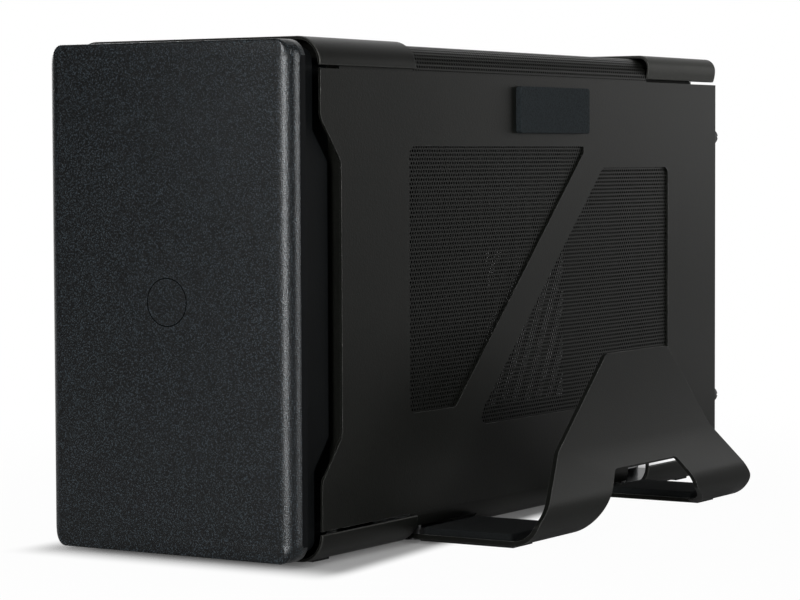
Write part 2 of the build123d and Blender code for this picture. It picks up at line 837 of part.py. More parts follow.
def fan_frame(size, depth, hub, boss, screw_inset):
    """Square fan frame about Z: open face at zero, struts and the motor's boss at the far side."""
    bore = size / 2 - fan_wall
    made = extrude(RectangleRounded(size, size, fan_corner), depth)
    made -= Pos(0, 0, depth / 2) * Cylinder(bore, depth)
    for turn in diagonals:
        arm = Pos((bore + hub) / 2, 0, depth - strut / 2) * Box(bore - hub + strut, strut, strut)
        made += Rot(0, 0, turn) * arm
    made += Pos(0, 0, depth - boss / 2) * Cylinder(hub, boss)
    made -= Pos(0, 0, depth - boss / 2) * Cylinder(pin_radius + pin_clearance, boss)
    reach = size / 2 - screw_inset
    for sx in (-1, 1):
        for sy in (-1, 1):
            made -= Pos(sx * reach, sy * reach, depth / 2) * Cylinder(fan_hole, depth)
    return made


def rotor(tip, hub, depth, blades, slant, chord, pin_start, pin_end):
    """Fan rotor about Z: hub from zero to depth, slanted blades and a pin on the axis."""
    blade = Pos((hub + tip) / 2, 0, depth / 2) * Rot(slant, 0, 0) * Box(tip - hub + strut, chord, blade_sheet)
    swept = Pos(0, 0, depth / 2) * (Cylinder(tip, depth - 2 * hub_gap) - Cylinder(hub - strut / 2, depth))
    made = Pos(0, 0, depth / 2) * Cylinder(hub, depth)
    for i in range(blades):
        made += (Rot(0, 0, i * 360 / blades) * blade) & swept
    return made + Pos(0, 0, (pin_start + pin_end) / 2) * Cylinder(pin_radius, pin_end - pin_start)


face_rear = Rot(-90, 0, 0)  # turns +Z towards +Y
face_right = Rot(0, 90, 0)  # turns +Z towards +X
rotor_depth = fan_depth - fan_boss - hub_gap - fan_wall
intake_frame = fan_frame(fan_size, fan_depth, fan_hub, fan_boss, fan_screw_inset)
intake_blades = (fan_blades, fan_slant, fan_chord)
intake_rotor = rotor(fan_bore - tip_gap, fan_hub, rotor_depth, *intake_blades, fan_wall, fan_depth - fan_wall)
nodes["intake_fan_frame"] = Pos(0, fan_front, z_mid) * face_rear * intake_frame
nodes["intake_fan_rotor"] = Pos(0, fan_front + fan_wall, z_mid) * face_rear * intake_rotor
nodes["intake_fan_screws"] = Compound(
    [
        rod_y(x, bulkhead_y, fan_front + fan_screw_length, z, fan_hole - fit_gap)
        + rod_y(x, bulkhead_y - fan_wall, bulkhead_y, z, fan_screw_head)
        for x, z in fan_corners
    ]
)
psu_rotor_depth = psu_fan_depth - psu_fan_boss - hub_gap - fan_wall
psu_fan_x = psu_x0 + psu_wall
psu_frame = fan_frame(psu_fan_size, psu_fan_depth, psu_fan_hub, psu_fan_boss, fan_screw_inset)
psu_blades = (psu_fan_blades, psu_fan_slant, psu_fan_chord)
psu_rotor = rotor(
    psu_fan_bore - tip_gap, psu_fan_hub, psu_rotor_depth, *psu_blades, fan_wall, psu_fan_depth - fan_wall
)
nodes["psu_fan_frame"] = Pos(psu_fan_x, psu_fan_y, psu_fan_z) * face_right * psu_frame
nodes["psu_fan_rotor"] = Pos(psu_fan_x + fan_wall, psu_fan_y, psu_fan_z) * face_right * psu_rotor
ring_step = psu_fan_bore / (ring_count + 1)
outer_ring = psu_fan_bore + grille_wire
grille = Torus(outer_ring, grille_wire)
for i in range(1, ring_count):
    grille += Torus(outer_ring - i * ring_step, grille_wire)
spoke_start = outer_ring - (ring_count - 1) * ring_step
for turn in diagonals:
    spoke = rod_x(spoke_start, outer_ring, 0, 0, grille_wire)
    grille += Rot(0, 0, turn) * spoke
nodes["psu_fan_grille"] = Pos(psu_x0 - grille_wire, psu_fan_y, psu_fan_z) * face_right * grille

# Graphics card: board, chip, fins, shroud with two fans, back plate and bracket
card_rear = rear_y - card_bracket_sheet
card_front = fan_front + fan_depth + card_fan_room
card_length = card_rear - card_front
card_low = slot_top + card_clear
card_high = card_low + card_height
card_z = (card_low + card_high) / 2
chip_x = card_x - chip_height
fan_spots = [card_front + card_fan_inset, card_front + card_fan_inset + card_fan_pitch]
chip_y = sum(fan_spots) / 2
card_board = block(card_x, card_back, card_front, card_rear, card_low, card_high)
tab_start = slot_front + slot_wall + fit_gap
tab_end = slot_end - slot_wall - fit_gap
card_board += block(card_x, card_back, tab_start, tab_end, slot_top - edge_depth, card_low)
half_chip = chip_size / 2
card_board += block(
    chip_x, card_x, chip_y - half_chip, chip_y + half_chip, card_z - half_chip, card_z + half_chip
)
nodes["card_board"] = card_board
back_x = card_back + backplate_gap
backplate_rear = card_rear - backplate_gap
backplate = block(back_x, back_x + backplate_sheet, card_front, backplate_rear, card_low, card_high)
post_heights = (card_low + 3 * card_post_inset, card_high - 3 * card_post_inset)
end_posts = (card_front + card_post_inset, card_rear - 2 * card_post_inset)
for y in (*end_posts, chip_y - chip_size, chip_y + chip_size):
    for z in post_heights:
        backplate += rod_x(card_back, back_x, y, z, card_post)
nodes["card_backplate"] = backplate

shroud_x = psu_x1 + shroud_gap
rotor_x = shroud_x + shroud_wall + hub_gap
fin_tip = rotor_x + card_fan_depth + hub_gap
fins_y = (card_front + card_rear) / 2
fin_count = int((card_length - 2 * fin_margin) / fin_pitch)
sink_length = (fin_count - 1) * fin_pitch + fin_sheet
sink_plan = Pos(chip_x - sink_base / 2, fins_y) * Rectangle(sink_base, sink_length)
card_fin = Pos((chip_x + fin_tip) / 2, fins_y) * Rectangle(chip_x - fin_tip, fin_sheet)
sink_plan += [Pos(0, (i - (fin_count - 1) / 2) * fin_pitch) * card_fin for i in range(fin_count)]
nodes["card_heatsink"] = prism_z(sink_plan, card_low + fin_margin, card_high - fin_margin)

shroud_back = chip_x - sink_base
shroud_front = card_front - shroud_wall
shroud_rear = card_rear - shroud_edge
shroud = block(shroud_x, shroud_back, shroud_front, shroud_rear, card_low, card_high)
shroud -= block(
    shroud_x + shroud_wall,
    shroud_back,
    card_front,
    shroud_rear,
    card_low + shroud_wall,
    card_high - shroud_wall,
)
fan_hole_radius = card_fan_radius + tip_gap
shroud_face = (shroud_x, shroud_x + shroud_wall)
for y in fan_spots:
    shroud -= rod_x(*shroud_face, y, card_z, fan_hole_radius)
    for turn in (0, 120, 240):
        arm = block(*shroud_face, -strut / 2, strut / 2, 0, fan_hole_radius + strut)
        shroud += Pos(0, y, card_z) * Rot(turn, 0, 0) * arm
    shroud += rod_x(*shroud_face, y, card_z, card_fan_hub)
    shroud -= rod_x(*shroud_face, y, card_z, pin_radius + pin_clearance)
for y in end_posts:
    for z in post_heights:
        shroud += rod_x(shroud_x + shroud_wall, card_x, y, z, card_post)
nodes["card_shroud"] = shroud
card_blades = (card_fan_blades, card_fan_slant, card_fan_chord)
card_rotor = rotor(
    card_fan_radius, card_fan_hub, card_fan_depth, *card_blades, -hub_gap - shroud_wall, card_fan_depth / 2
)
for name, y in zip(("card_front_fan", "card_rear_fan"), fan_spots):
    nodes[name] = Pos(rotor_x, y, card_z) * face_right * card_rotor

bracket_x0 = shroud_x
bracket_x1 = back_x
bracket_low = floor_top + chassis_sheet
bracket_high = bracket_low + card_bracket_height
card_bracket = block(bracket_x0, bracket_x1, card_rear, rear_y, bracket_low, bracket_high)
vent_end = card_x - bracket_rim
vent_start = card_low + 2 * bracket_rim
for i in range(bracket_vents):
    z = vent_start + i * (bracket_vent + bracket_bar)
    card_bracket -= block(bracket_x0 + bracket_rim, vent_end, card_rear, rear_y, z, z + bracket_vent)
socket_start = vent_start + bracket_vents * (bracket_vent + bracket_bar)
for i in range(display_sockets):
    z = socket_start + i * 2 * bracket_vent
    card_bracket -= block(vent_end - 3 * bracket_rim, vent_end, card_rear, rear_y, z, z + bracket_vent)
ear_top = bracket_high + card_bracket_sheet
ledge_end = rear_face + ledge_depth
card_bracket += block(bracket_x0, bracket_x1, card_rear, ledge_end, bracket_high, ear_top)
nodes["card_bracket"] = card_bracket
nodes["bracket_screws"] = Compound(
    [
        rod_z(x, (rear_face + ledge_end) / 2, ear_top, ear_top + psu_screw_head, ledge_screw)
        for x in (bracket_x0 + ledge_screw_inset, bracket_x1 - ledge_screw_inset)
    ]
)
socket_y = card_front + socket_inset
socket_top = card_high + socket_height
nodes["card_power_socket"] = block(
    card_x - socket_width,
    card_back,
    socket_y - socket_length / 2,
    socket_y + socket_length / 2,
    card_high,
    socket_top,
)

# Rear panel with side returns, a ledge for the card's bracket and its openings
rear_panel = cross_wall(rear_y, rear_face, floor_low) - roll_room
side_return = block(wall_half, chassis_half, rear_face, return_end, floor_low, mesh_low)
side_return += block(
    chassis_half - panel_flange, chassis_half, return_end - chassis_sheet, return_end, floor_low, mesh_low
)
for z in thumb_heights:
    side_return -= rod_y(thumb_x, return_end - chassis_sheet, return_end, z, screw_hole)
rear_panel += both_sides(side_return)
rear_panel += block(bracket_x0, bracket_x1, rear_face, ledge_end, bracket_high - chassis_sheet, bracket_high)
rear_panel -= block(
    bracket_x0 - fit_gap, bracket_x1 + fit_gap, rear_y, rear_face, bracket_high, ear_top + fit_gap
)
rear_panel -= block(
    bracket_x0 + bracket_rim,
    bracket_x1 - bracket_rim,
    rear_y,
    rear_face,
    card_low,
    bracket_high - 2 * bracket_rim,
)
rear_panel -= block(
    psu_x0 + psu_rim, psu_x1 - psu_rim, rear_y, rear_face, psu_low + psu_rim, psu_high - psu_rim
)
port_sizes = [(host_x, host_width, host_height)]
port_sizes += [(x, accessory_width, accessory_height) for x in accessory_spots]
for x, width, height in port_sizes:
    rear_panel -= centred(
        x, main_high + height / 2, width + 2 * port_clearance, height + 2 * port_clearance, rear_y, rear_face
    )
nodes["rear_panel"] = rear_panel


# Leads inside the case
def lead(points):
    """Round lead along straight runs joined by the largest arcs that fit."""
    radii = [largest_round(*corner) for corner in zip(points, points[1:], points[2:])]
    path = FilletPolyline(*points, radius=radii)
    return sweep(Plane(path @ 0, z_dir=path % 0) * Circle(lead_radius), path)


plug_x = card_x - socket_width / 2
plug_top = socket_top + plug_height
lead_x = psu_x + card_lead_inset
lead_z = psu_high - card_lead_drop
lead_y = psu_front - card_lead_run
card_route = [
    (lead_x, psu_front, lead_z),
    (lead_x, lead_y, lead_z),
    (psu_x + card_lead_side, (lead_y + socket_y) / 2, psu_high + card_lead_rise),
    (plug_x, socket_y, psu_high + card_lead_arch),
    (plug_x, socket_y, plug_top),
]


def plug(x, y, width, length, low, high):
    return block(x - width / 2, x + width / 2, y - length / 2, y + length / 2, low, high)


card_plug = plug(plug_x, socket_y, card_plug_width, card_plug_length, socket_top, plug_top)
nodes["card_power_lead"] = lead(card_route) + card_plug
feed_x = psu_x0 + feed_inset
feed_y = main_front + feed_reach
feed_z = psu_low + feed_above
feed_top = main_high + plug_height
feed_route = [
    (feed_x, psu_front, feed_z),
    (feed_x, psu_front - feed_run, feed_z),
    (feed_x, feed_y, psu_low),
    (feed_x, feed_y, feed_top),
]
feed_plug = plug(feed_x, feed_y, feed_plug_width, feed_plug_length, main_high, feed_top)
nodes["board_power_lead"] = lead(feed_route) + feed_plug

# Laptop stand: one bent sheet, a trapezium from the side, with an arch cut out above two tongues
stand_y = (front_band_end + rear_band_start) / 2 + stand_shift
stand_foot_half = (rear_band_start - front_band_end) / 2 - stand_clear
arch_foot_half = stand_foot_half - tongue_width
plate_x = half_width + laptop_gap + stand_sheet
curl_x = plate_x - stand_lean
curl_z = stand_lift + stand_curl
lean_z = stand_bend_z - curl_z
lean = atan2(lean_z, stand_lean) - acos(stand_curl / hypot(stand_lean, lean_z))
curl_middle = (lean - radians(90)) / 2
tongue_top = stand_lift + stand_sheet
tongue_end = half_width - tongue_reach


def on_curl(radius, angle):
    return curl_x + radius * cos(angle), curl_z + radius * sin(angle)


def curl_arc(radius, bottom):
    return ThreePointArc((curl_x, bottom), on_curl(radius, curl_middle), on_curl(radius, lean))


inner_curl = stand_curl - stand_sheet
inner_bend = (plate_x - stand_sheet, stand_bend_z - stand_sheet * tan(lean / 2))
stand_profile = Polyline(
    (curl_x, tongue_top), (tongue_end, tongue_top), (tongue_end, stand_lift), (curl_x, stand_lift)
)
stand_profile += curl_arc(stand_curl, stand_lift)
stand_profile += Polyline(
    on_curl(stand_curl, lean),
    (plate_x, stand_bend_z),
    (plate_x, stand_top_z),
    (plate_x - stand_sheet, stand_top_z),
    inner_bend,
    on_curl(inner_curl, lean),
)
stand_profile += curl_arc(inner_curl, tongue_top)
stand_y0 = stand_y - stand_foot_half
stand_y1 = stand_y + stand_foot_half
side_view = [
    (stand_y0, 0),
    (stand_y1, 0),
    (stand_y1, stand_foot_z),
    (stand_y + stand_top_half, stand_top_z),
    (stand_y - stand_top_half, stand_top_z),
    (stand_y0, stand_foot_z),
]
arch_y0 = stand_y - arch_foot_half
arch_y1 = stand_y + arch_foot_half
flare_share = (arch_flare_z - stand_lift) / (arch_top_z - stand_lift)
flare_y = arch_y1 + flare_share * (stand_y + arch_top_half - arch_y1)
rear_tongue_y = arch_y1 + arch_flare
arch_view = [
    (arch_y0, 0),
    (rear_tongue_y, 0),
    (rear_tongue_y, stand_lift),
    (flare_y, arch_flare_z),
    (stand_y + arch_top_half, arch_top_z),
    (stand_y - arch_top_half, arch_top_z),
    (arch_y0, stand_lift),
]
stand_end = curl_x + 2 * stand_curl
stand = prism_y(make_face(stand_profile), stand_y0, stand_y1)
stand &= prism_x(outline(side_view, stand_round, sharp=(0, 1)), tongue_end, stand_end)
stand -= prism_x(outline(arch_view, arch_round, sharp=(0, 1, 2, 6)), curl_x, stand_end)
stand -= block(tongue_end, curl_x, arch_y0, rear_tongue_y, stand_lift, tongue_top)

tongues = {"front": (stand_y0, arch_y0), "rear": (rear_tongue_y, stand_y1)}
hanger_x1 = panel_inner - bracket_inset
hanger_x0 = hanger_x1 - bracket_width
hanger_top = tongue_top + bracket_sheet
screw_heads_z = stand_lift - fit_gap
foot_x1 = curl_x - stand_foot_back
foot_span = block(foot_x1 - stand_foot_length, foot_x1, stand_y0, stand_y1, 0, stand_lift)


def hanger_span(z0, z1):
    return block(hanger_x0, hanger_x1, stand_y0, stand_y1, z0, z1)


def from_end(end, inset, length):
    """Slice of the space round a tongue, that starts an inset from one end of the stand and goes inwards."""
    end_y, way = end
    near, far = sorted((end_y + way * inset, end_y + way * (inset + length)))
    return block(tongue_end, curl_x, near, far, 0, floor_low)


hangers = []
stand_screws = []
stand_feet = []
for end in ((stand_y0, 1), (stand_y1, -1)):
    hanger = from_end(end, bracket_edge, bracket_flange) & hanger_span(tongue_top, hanger_top)
    hanger += from_end(end, bracket_edge, bracket_sheet) & hanger_span(tongue_top, floor_low)
    hanger += from_end(end, bracket_edge, bracket_length) & hanger_span(floor_low - bracket_sheet, floor_low)
    foot = from_end(end, stand_foot_inset, stand_foot_width) & foot_span
    end_y, way = end
    screw_y = end_y + way * (bracket_edge + (bracket_flange + bracket_sheet) / 2)
    for x in (hanger_x0 + bracket_screw_inset, hanger_x1 - bracket_screw_inset):
        hole = rod_z(x, screw_y, stand_lift, hanger_top, screw_radius + stand_screw_clearance)
        hanger -= hole
        stand -= hole
        foot -= rod_z(x, screw_y, 0, stand_lift, stand_head_radius + stand_screw_clearance)
        stand_screws.append(
            rod_z(x, screw_y, screw_heads_z, hanger_top + thread_length, screw_radius)
            + rod_z(x, screw_y, screw_heads_z - stand_screw_head, screw_heads_z, stand_head_radius)
        )
    hangers.append(hanger)
    stand_feet.append(foot)
nodes["laptop_stand"] = stand
nodes["stand_brackets"] = Compound(hangers)
nodes["stand_screws"] = Compound(stand_screws)
nodes["stand_feet"] = Compound(stand_feet)
stand_pad_top = tongue_top + stand_pad_thickness
for place, (y0, y1) in tongues.items():
    nodes[f"{place}_stand_pad"] = block(
        half_width - stand_pad_lap,
        curl_x - stand_pad_edge,
        y0 + stand_pad_edge,
        y1 - stand_pad_edge,
        tongue_top,
        stand_pad_top,
    )

# Bottom pan: sheet that closes the underside between the bottom bands, cut away round the tongues
pan_y0 = front_band_end - pan_lap
pan_y1 = rear_band_start + pan_lap
bottom_pan = bottom_part(skin(mesh_inset, mesh_sheet), pan_y0, pan_y1, floor_top)
for y0, y1 in tongues.values():
    bottom_pan -= block(
        tongue_end - pan_clear, body_width, y0 - pan_clear, y1 + pan_clear, 0, stand_pad_top + pan_clear
    )
bottom_pan -= block(
    half_width - corner_radius, body_width, rear_band_start - pan_hatch, rear_band_start, 0, floor_low
)
nodes["bottom_pan"] = bottom_pan

# The middle of the whole object's base becomes the origin
boxes = [shape.bounding_box() for shape in nodes.values()]
low_x, high_x = min(box.min.X for box in boxes), max(box.max.X for box in boxes)
low_y, high_y = min(box.min.Y for box in boxes), max(box.max.Y for box in boxes)
to_origin = Pos(-(low_x + high_x) / 2, -(low_y + high_y) / 2, 0)

os.makedirs("parts", exist_ok=True)
for name, shape in nodes.items():
    export_step(to_origin * shape, f"parts/{name}.step")
print(len(nodes), "nodes; origin at", (low_x + high_x) / 2, (low_y + high_y) / 2)
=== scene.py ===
import json
import math

import bmesh
import bpy
import numpy as np
from mathutils import Matrix, Vector

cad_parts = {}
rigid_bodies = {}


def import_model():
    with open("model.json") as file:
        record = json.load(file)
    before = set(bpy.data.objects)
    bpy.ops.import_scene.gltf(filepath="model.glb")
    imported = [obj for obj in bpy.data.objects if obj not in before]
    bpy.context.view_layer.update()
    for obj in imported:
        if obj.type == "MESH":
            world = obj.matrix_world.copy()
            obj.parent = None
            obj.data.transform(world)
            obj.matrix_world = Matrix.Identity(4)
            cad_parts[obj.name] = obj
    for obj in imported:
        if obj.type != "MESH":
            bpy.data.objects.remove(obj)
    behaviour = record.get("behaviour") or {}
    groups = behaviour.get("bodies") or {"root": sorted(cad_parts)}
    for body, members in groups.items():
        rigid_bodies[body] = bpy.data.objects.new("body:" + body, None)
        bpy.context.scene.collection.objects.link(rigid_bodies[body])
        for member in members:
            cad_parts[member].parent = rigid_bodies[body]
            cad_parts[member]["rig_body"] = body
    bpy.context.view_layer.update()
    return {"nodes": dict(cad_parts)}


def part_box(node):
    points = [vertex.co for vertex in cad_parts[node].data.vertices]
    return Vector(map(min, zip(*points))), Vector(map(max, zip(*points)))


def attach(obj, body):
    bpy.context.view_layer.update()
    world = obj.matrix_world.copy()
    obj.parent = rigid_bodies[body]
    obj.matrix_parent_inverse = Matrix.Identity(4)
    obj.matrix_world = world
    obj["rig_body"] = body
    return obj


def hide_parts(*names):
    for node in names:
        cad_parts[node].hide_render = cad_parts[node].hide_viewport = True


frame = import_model()
nodes = frame["nodes"]
scene = bpy.context.scene
scene.view_settings.view_transform = "Standard"
mm = 0.001  # the values of pieces and finishes are in millimetres


# Shader maths: a Tone is one output socket, and its operators add Math nodes
class Tone:
    def __init__(self, finish, socket):
        self.finish = finish
        self.socket = socket

    def maths(self, operation, *values):
        return self.finish.node("ShaderNodeMath", {"operation": operation}, dict(enumerate(values)))

    def __add__(self, other):
        return self.maths("ADD", self, other)

    def __radd__(self, other):
        return self.maths("ADD", other, self)

    def __sub__(self, other):
        return self.maths("SUBTRACT", self, other)

    def __rsub__(self, other):
        return self.maths("SUBTRACT", other, self)

    def __mul__(self, other):
        return self.maths("MULTIPLY", self, other)

    def __rmul__(self, other):
        return self.maths("MULTIPLY", other, self)

    def __truediv__(self, other):
        return self.maths("DIVIDE", self, other)

    def __rtruediv__(self, other):
        return self.maths("DIVIDE", other, self)

    def between(self, low, high):  # smooth step from 0 at low to 1 at high
        sockets = {"Value": self, "From Min": low, "From Max": high}
        return self.finish.node("ShaderNodeMapRange", {"interpolation_type": "SMOOTHSTEP"}, sockets)

    def largest(self, other):
        return self.maths("MAXIMUM", self, other)

    def fraction(self):
        return self.maths("FRACT", self)


# A node tree of a material or the world: node() adds any node, the others are short ways to common ones
class Finish:
    def __init__(self, owner):
        owner.use_nodes = True
        self.owner = owner
        self.tree = owner.node_tree
        self.tree.nodes.clear()

    def node(self, kind, settings=None, sockets=None, out=0):
        made = self.tree.nodes.new(kind)
        for key, value in (settings or {}).items():
            setattr(made, key, value)
        for key, value in (sockets or {}).items():
            if isinstance(value, Tone):
                self.tree.links.new(value.socket, made.inputs[key])
            else:
                made.inputs[key].default_value = value
        return Tone(self, made.outputs[out]) if made.outputs else None

    def place(self):
        return self.node("ShaderNodeTexCoord", out="Object")

    def axes(self):
        split = self.node("ShaderNodeSeparateXYZ", sockets={"Vector": self.place()})
        return [Tone(self, split.socket.node.outputs[axis]) for axis in range(3)]

    def noise(self, grain, detail, stretch=(1, 1, 1)):  # grain: size of a speck in millimetres
        spot = self.node("ShaderNodeMapping", sockets={"Vector": self.place(), "Scale": stretch})
        sockets = {"Vector": spot, "Scale": 1 / (grain * mm), "Detail": detail}
        return self.node("ShaderNodeTexNoise", sockets=sockets)

    def cells(self, grain):
        sockets = {"Vector": self.place(), "Scale": 1 / (grain * mm)}
        return self.node("ShaderNodeTexVoronoi", sockets=sockets)

    def mixed(self, factor, first, second):
        first, second = [c if isinstance(c, Tone) else (*c, 1.0) for c in (first, second)]
        return self.node("ShaderNodeMix", {"data_type": "RGBA"}, {0: factor, 6: first, 7: second}, out=2)

    def bump(self, height, depth, strength):  # depth in millimetres
        sockets = {"Height": height, "Distance": depth * mm, "Strength": strength}
        return self.node("ShaderNodeBump", sockets=sockets)

    def painted(self, colour, roughness, normal, level=0.5, glint=(1, 1, 1, 1), metallic=0.0):
        sockets = {"Base Color": colour, "Roughness": roughness, "Normal": normal, "Metallic": metallic}
        sockets.update({"Specular IOR Level": level, "Specular Tint": glint})
        shader = self.node("ShaderNodeBsdfPrincipled", sockets=sockets)
        self.node("ShaderNodeOutputMaterial", sockets={"Surface": shader})
        return self.owner


def newFinish(name):
    return Finish(bpy.data.materials.new(name))


# Finishes, one function for each kind of surface
steelLook = dict(
    dark=(0.0026, 0.0029, 0.0025),
    light=(0.0060, 0.0064, 0.0055),
    glint=(1.0, 0.99, 0.93, 1.0),
    grain=0.70,
    cloud=55.0,
    patch=(0.3, 0.7),
    level=0.14,
    rough=0.30,
    spread=0.12,
    relief=(0.10, 0.55),
)


def powderCoat(name, look=steelLook, shade=1.0):  # fine grain with a slow cloud over it
    paint = newFinish(name)
    grain = paint.noise(look["grain"], 2.0)
    cloud = paint.noise(look["cloud"], 3.0)
    tint = grain * 0.7 + cloud * 0.3
    # shade darkens a copy of the coat, a painted shade
    dark = [c * shade for c in look["dark"]]
    light = [c * shade for c in look["light"]]
    colour = paint.mixed(tint.between(*look["patch"]), dark, light)
    roughness = look["rough"] + grain * look["spread"]
    normal = paint.bump(grain, *look["relief"])
    return paint.painted(colour, roughness, normal, look["level"], look["glint"])


# Copies of the coat that paint light and shade: a painted highlight on the cut edges of the panels and the
# stand, a fainter one on the edges of the bands, painted light on the rolled rear band, and painted shade
# in the seam under the top bands
edgeHighlightLook = dict(steelLook, dark=(0.085, 0.086, 0.082), light=(0.210, 0.212, 0.205), level=1.0, rough=0.20)
# painted highlight, fainter: a lighter coat for the cut edges of the bands
dullEdge = dict(steelLook, dark=(0.012, 0.012, 0.011), light=(0.034, 0.035, 0.033), level=0.3)
# painted light: a lighter copy of the coat for the rolled rear band
rollPaintedLightLook = dict(steelLook, dark=(0.014, 0.0143, 0.0128), light=(0.034, 0.0345, 0.031), rough=0.36)
# painted shade: a copy of the coat that barely reflects, darkened where it is used
seamShadeLook = dict(steelLook, level=0.01)

capLook = dict(
    dark=(0.0002, 0.0003, 0.0004),
    light=(0.0240, 0.0330, 0.0400),
    glint=(0.95, 0.98, 1.0, 1.0),
    grain=0.52,
    fine=0.6,
    specksAndGlints=(0.53, 0.64),
    level=0.5,
    rough=0.24,
    spread=0.14,
    relief=(0.20, 0.8),
)


def leatherGrain(name, look=capLook):  # coarse moulded texture of the front cap
    paint = newFinish(name)
    coarse = paint.noise(look["grain"], 0.6)
    fine = paint.noise(look["grain"] * look["fine"], 1.0)
    height = coarse * 0.7 + fine * 0.3
    # the speckle in the colour is the moulded grain, and also painted glints on that grain
    colour = paint.mixed(height.between(*look["specksAndGlints"]), look["dark"], look["light"])
    roughness = look["rough"] + fine * look["spread"]
    normal = paint.bump(height, *look["relief"])
    return paint.painted(colour, roughness, normal, look["level"], look["glint"])


mouldLook = dict(cloud=40.0, lift=1.5, least=0.0006, patch=(0.35, 0.65), spread=0.16, press=0.5)


def moulded(name, colour, grain, rough, level, depth=0.08, look=mouldLook):  # plain plastic or rubber
    paint = newFinish(name)
    speck = paint.noise(grain, 2.0)
    cloud = paint.noise(look["cloud"], 2.0)
    lighter = [c * look["lift"] + look["least"] for c in colour]
    tint = paint.mixed((speck * 0.5 + cloud * 0.5).between(*look["patch"]), colour, lighter)
    roughness = rough - look["spread"] / 2 + speck * look["spread"]
    return paint.painted(tint, roughness, paint.bump(speck, depth, look["press"]), level)


foamLook = dict(
    pore=0.85,
    dust=0.45,
    patch=(0.25, 0.75),
    lift=1.9,
    rough=0.93,
    relief=(0.25, 0.7),
    level=0.12,
)


def foam(name, colour, look=foamLook):  # cut pores with dust between them
    paint = newFinish(name)
    pores = paint.cells(look["pore"])
    dust = paint.noise(look["dust"], 2.0)
    height = pores * 0.8 + dust * 0.4
    lighter = [c * look["lift"] for c in colour]
    tint = paint.mixed(height.between(*look["patch"]), colour, lighter)
    return paint.painted(tint, look["rough"], paint.bump(height, *look["relief"]), look["level"])


metalLook = dict(grain=0.9, cloud=18.0, dull=0.72, patch=(0.35, 0.65), spread=0.16, relief=(0.02, 0.5))


def metal(name, colour, rough, brush=(1, 1, 1), look=metalLook):  # a brush under 1 streaks that axis
    paint = newFinish(name)
    streak = paint.noise(look["grain"], 2.0, brush)
    cloud = paint.noise(look["cloud"], 2.0)
    duller = [c * look["dull"] for c in colour]
    tint = paint.mixed((streak * 0.5 + cloud * 0.5).between(*look["patch"]), duller, colour)
    roughness = rough - look["spread"] / 2 + streak * look["spread"]
    return paint.painted(tint, roughness, paint.bump(streak, *look["relief"]), metallic=1.0)


boardLook = dict(
    pitch=2.2,
    lane=(0.42, 0.5),
    patch=9.0,
    gate=(0.48, 0.52),
    grain=0.5,
    rough=0.34,
    spread=0.14,
    relief=(0.04, 0.5),
    level=0.4,
)


def circuitBoard(name, colour, track, look=boardLook):  # slanted tracks, broken up into patches
    paint = newFinish(name)
    x, y, z = paint.axes()
    lane = ((x + y + z) / (look["pitch"] * mm)).fraction().between(*look["lane"])
    gate = paint.noise(look["patch"], 1.0).between(*look["gate"])
    tint = paint.mixed(lane * gate, colour, track)
    roughness = look["rough"] + paint.noise(look["grain"], 1.0) * look["spread"]
    return paint.painted(tint, roughness, paint.bump(lane * gate, *look["relief"]), look["level"])


# The card's back plate, with pale bars: slanted, within a box given by its four sides
cardLook = dict(
    bar=11.0,
    lean=0.55,
    width=0.42,
    crisp=0.03,
    paleBar=(0.50, 0.50, 0.51),
    front=-12.0,
    rear=62.0,
    low=52.0,
    high=124.0,
    soft=0.5,
    grain=0.7,
    lift=1.5,
    rough=0.42,
    spread=0.12,
    relief=(0.05, 0.4),
    level=0.3,
)


def cardPlate(name, colour, look=cardLook):
    paint = newFinish(name)
    y, z = paint.axes()[1:]
    lane = ((y - z * look["lean"]) / (look["bar"] * mm)).fraction()
    bars = lane.between(look["width"], look["width"] + look["crisp"])

    def past(axis, side):  # 1 beyond a side of the box
        return axis.between(look[side] * mm, (look[side] + look["soft"]) * mm)

    paleBar = bars * past(z, "low") * (1 - past(z, "high")) * past(y, "front") * (1 - past(y, "rear"))
    speck = paint.noise(look["grain"], 2.0)
    ground = paint.mixed(speck, colour, [c * look["lift"] for c in colour])
    tint = paint.mixed(paleBar, ground, look["paleBar"])
    roughness = look["rough"] + speck * look["spread"]
    return paint.painted(tint, roughness, paint.bump(speck, *look["relief"]), look["level"])


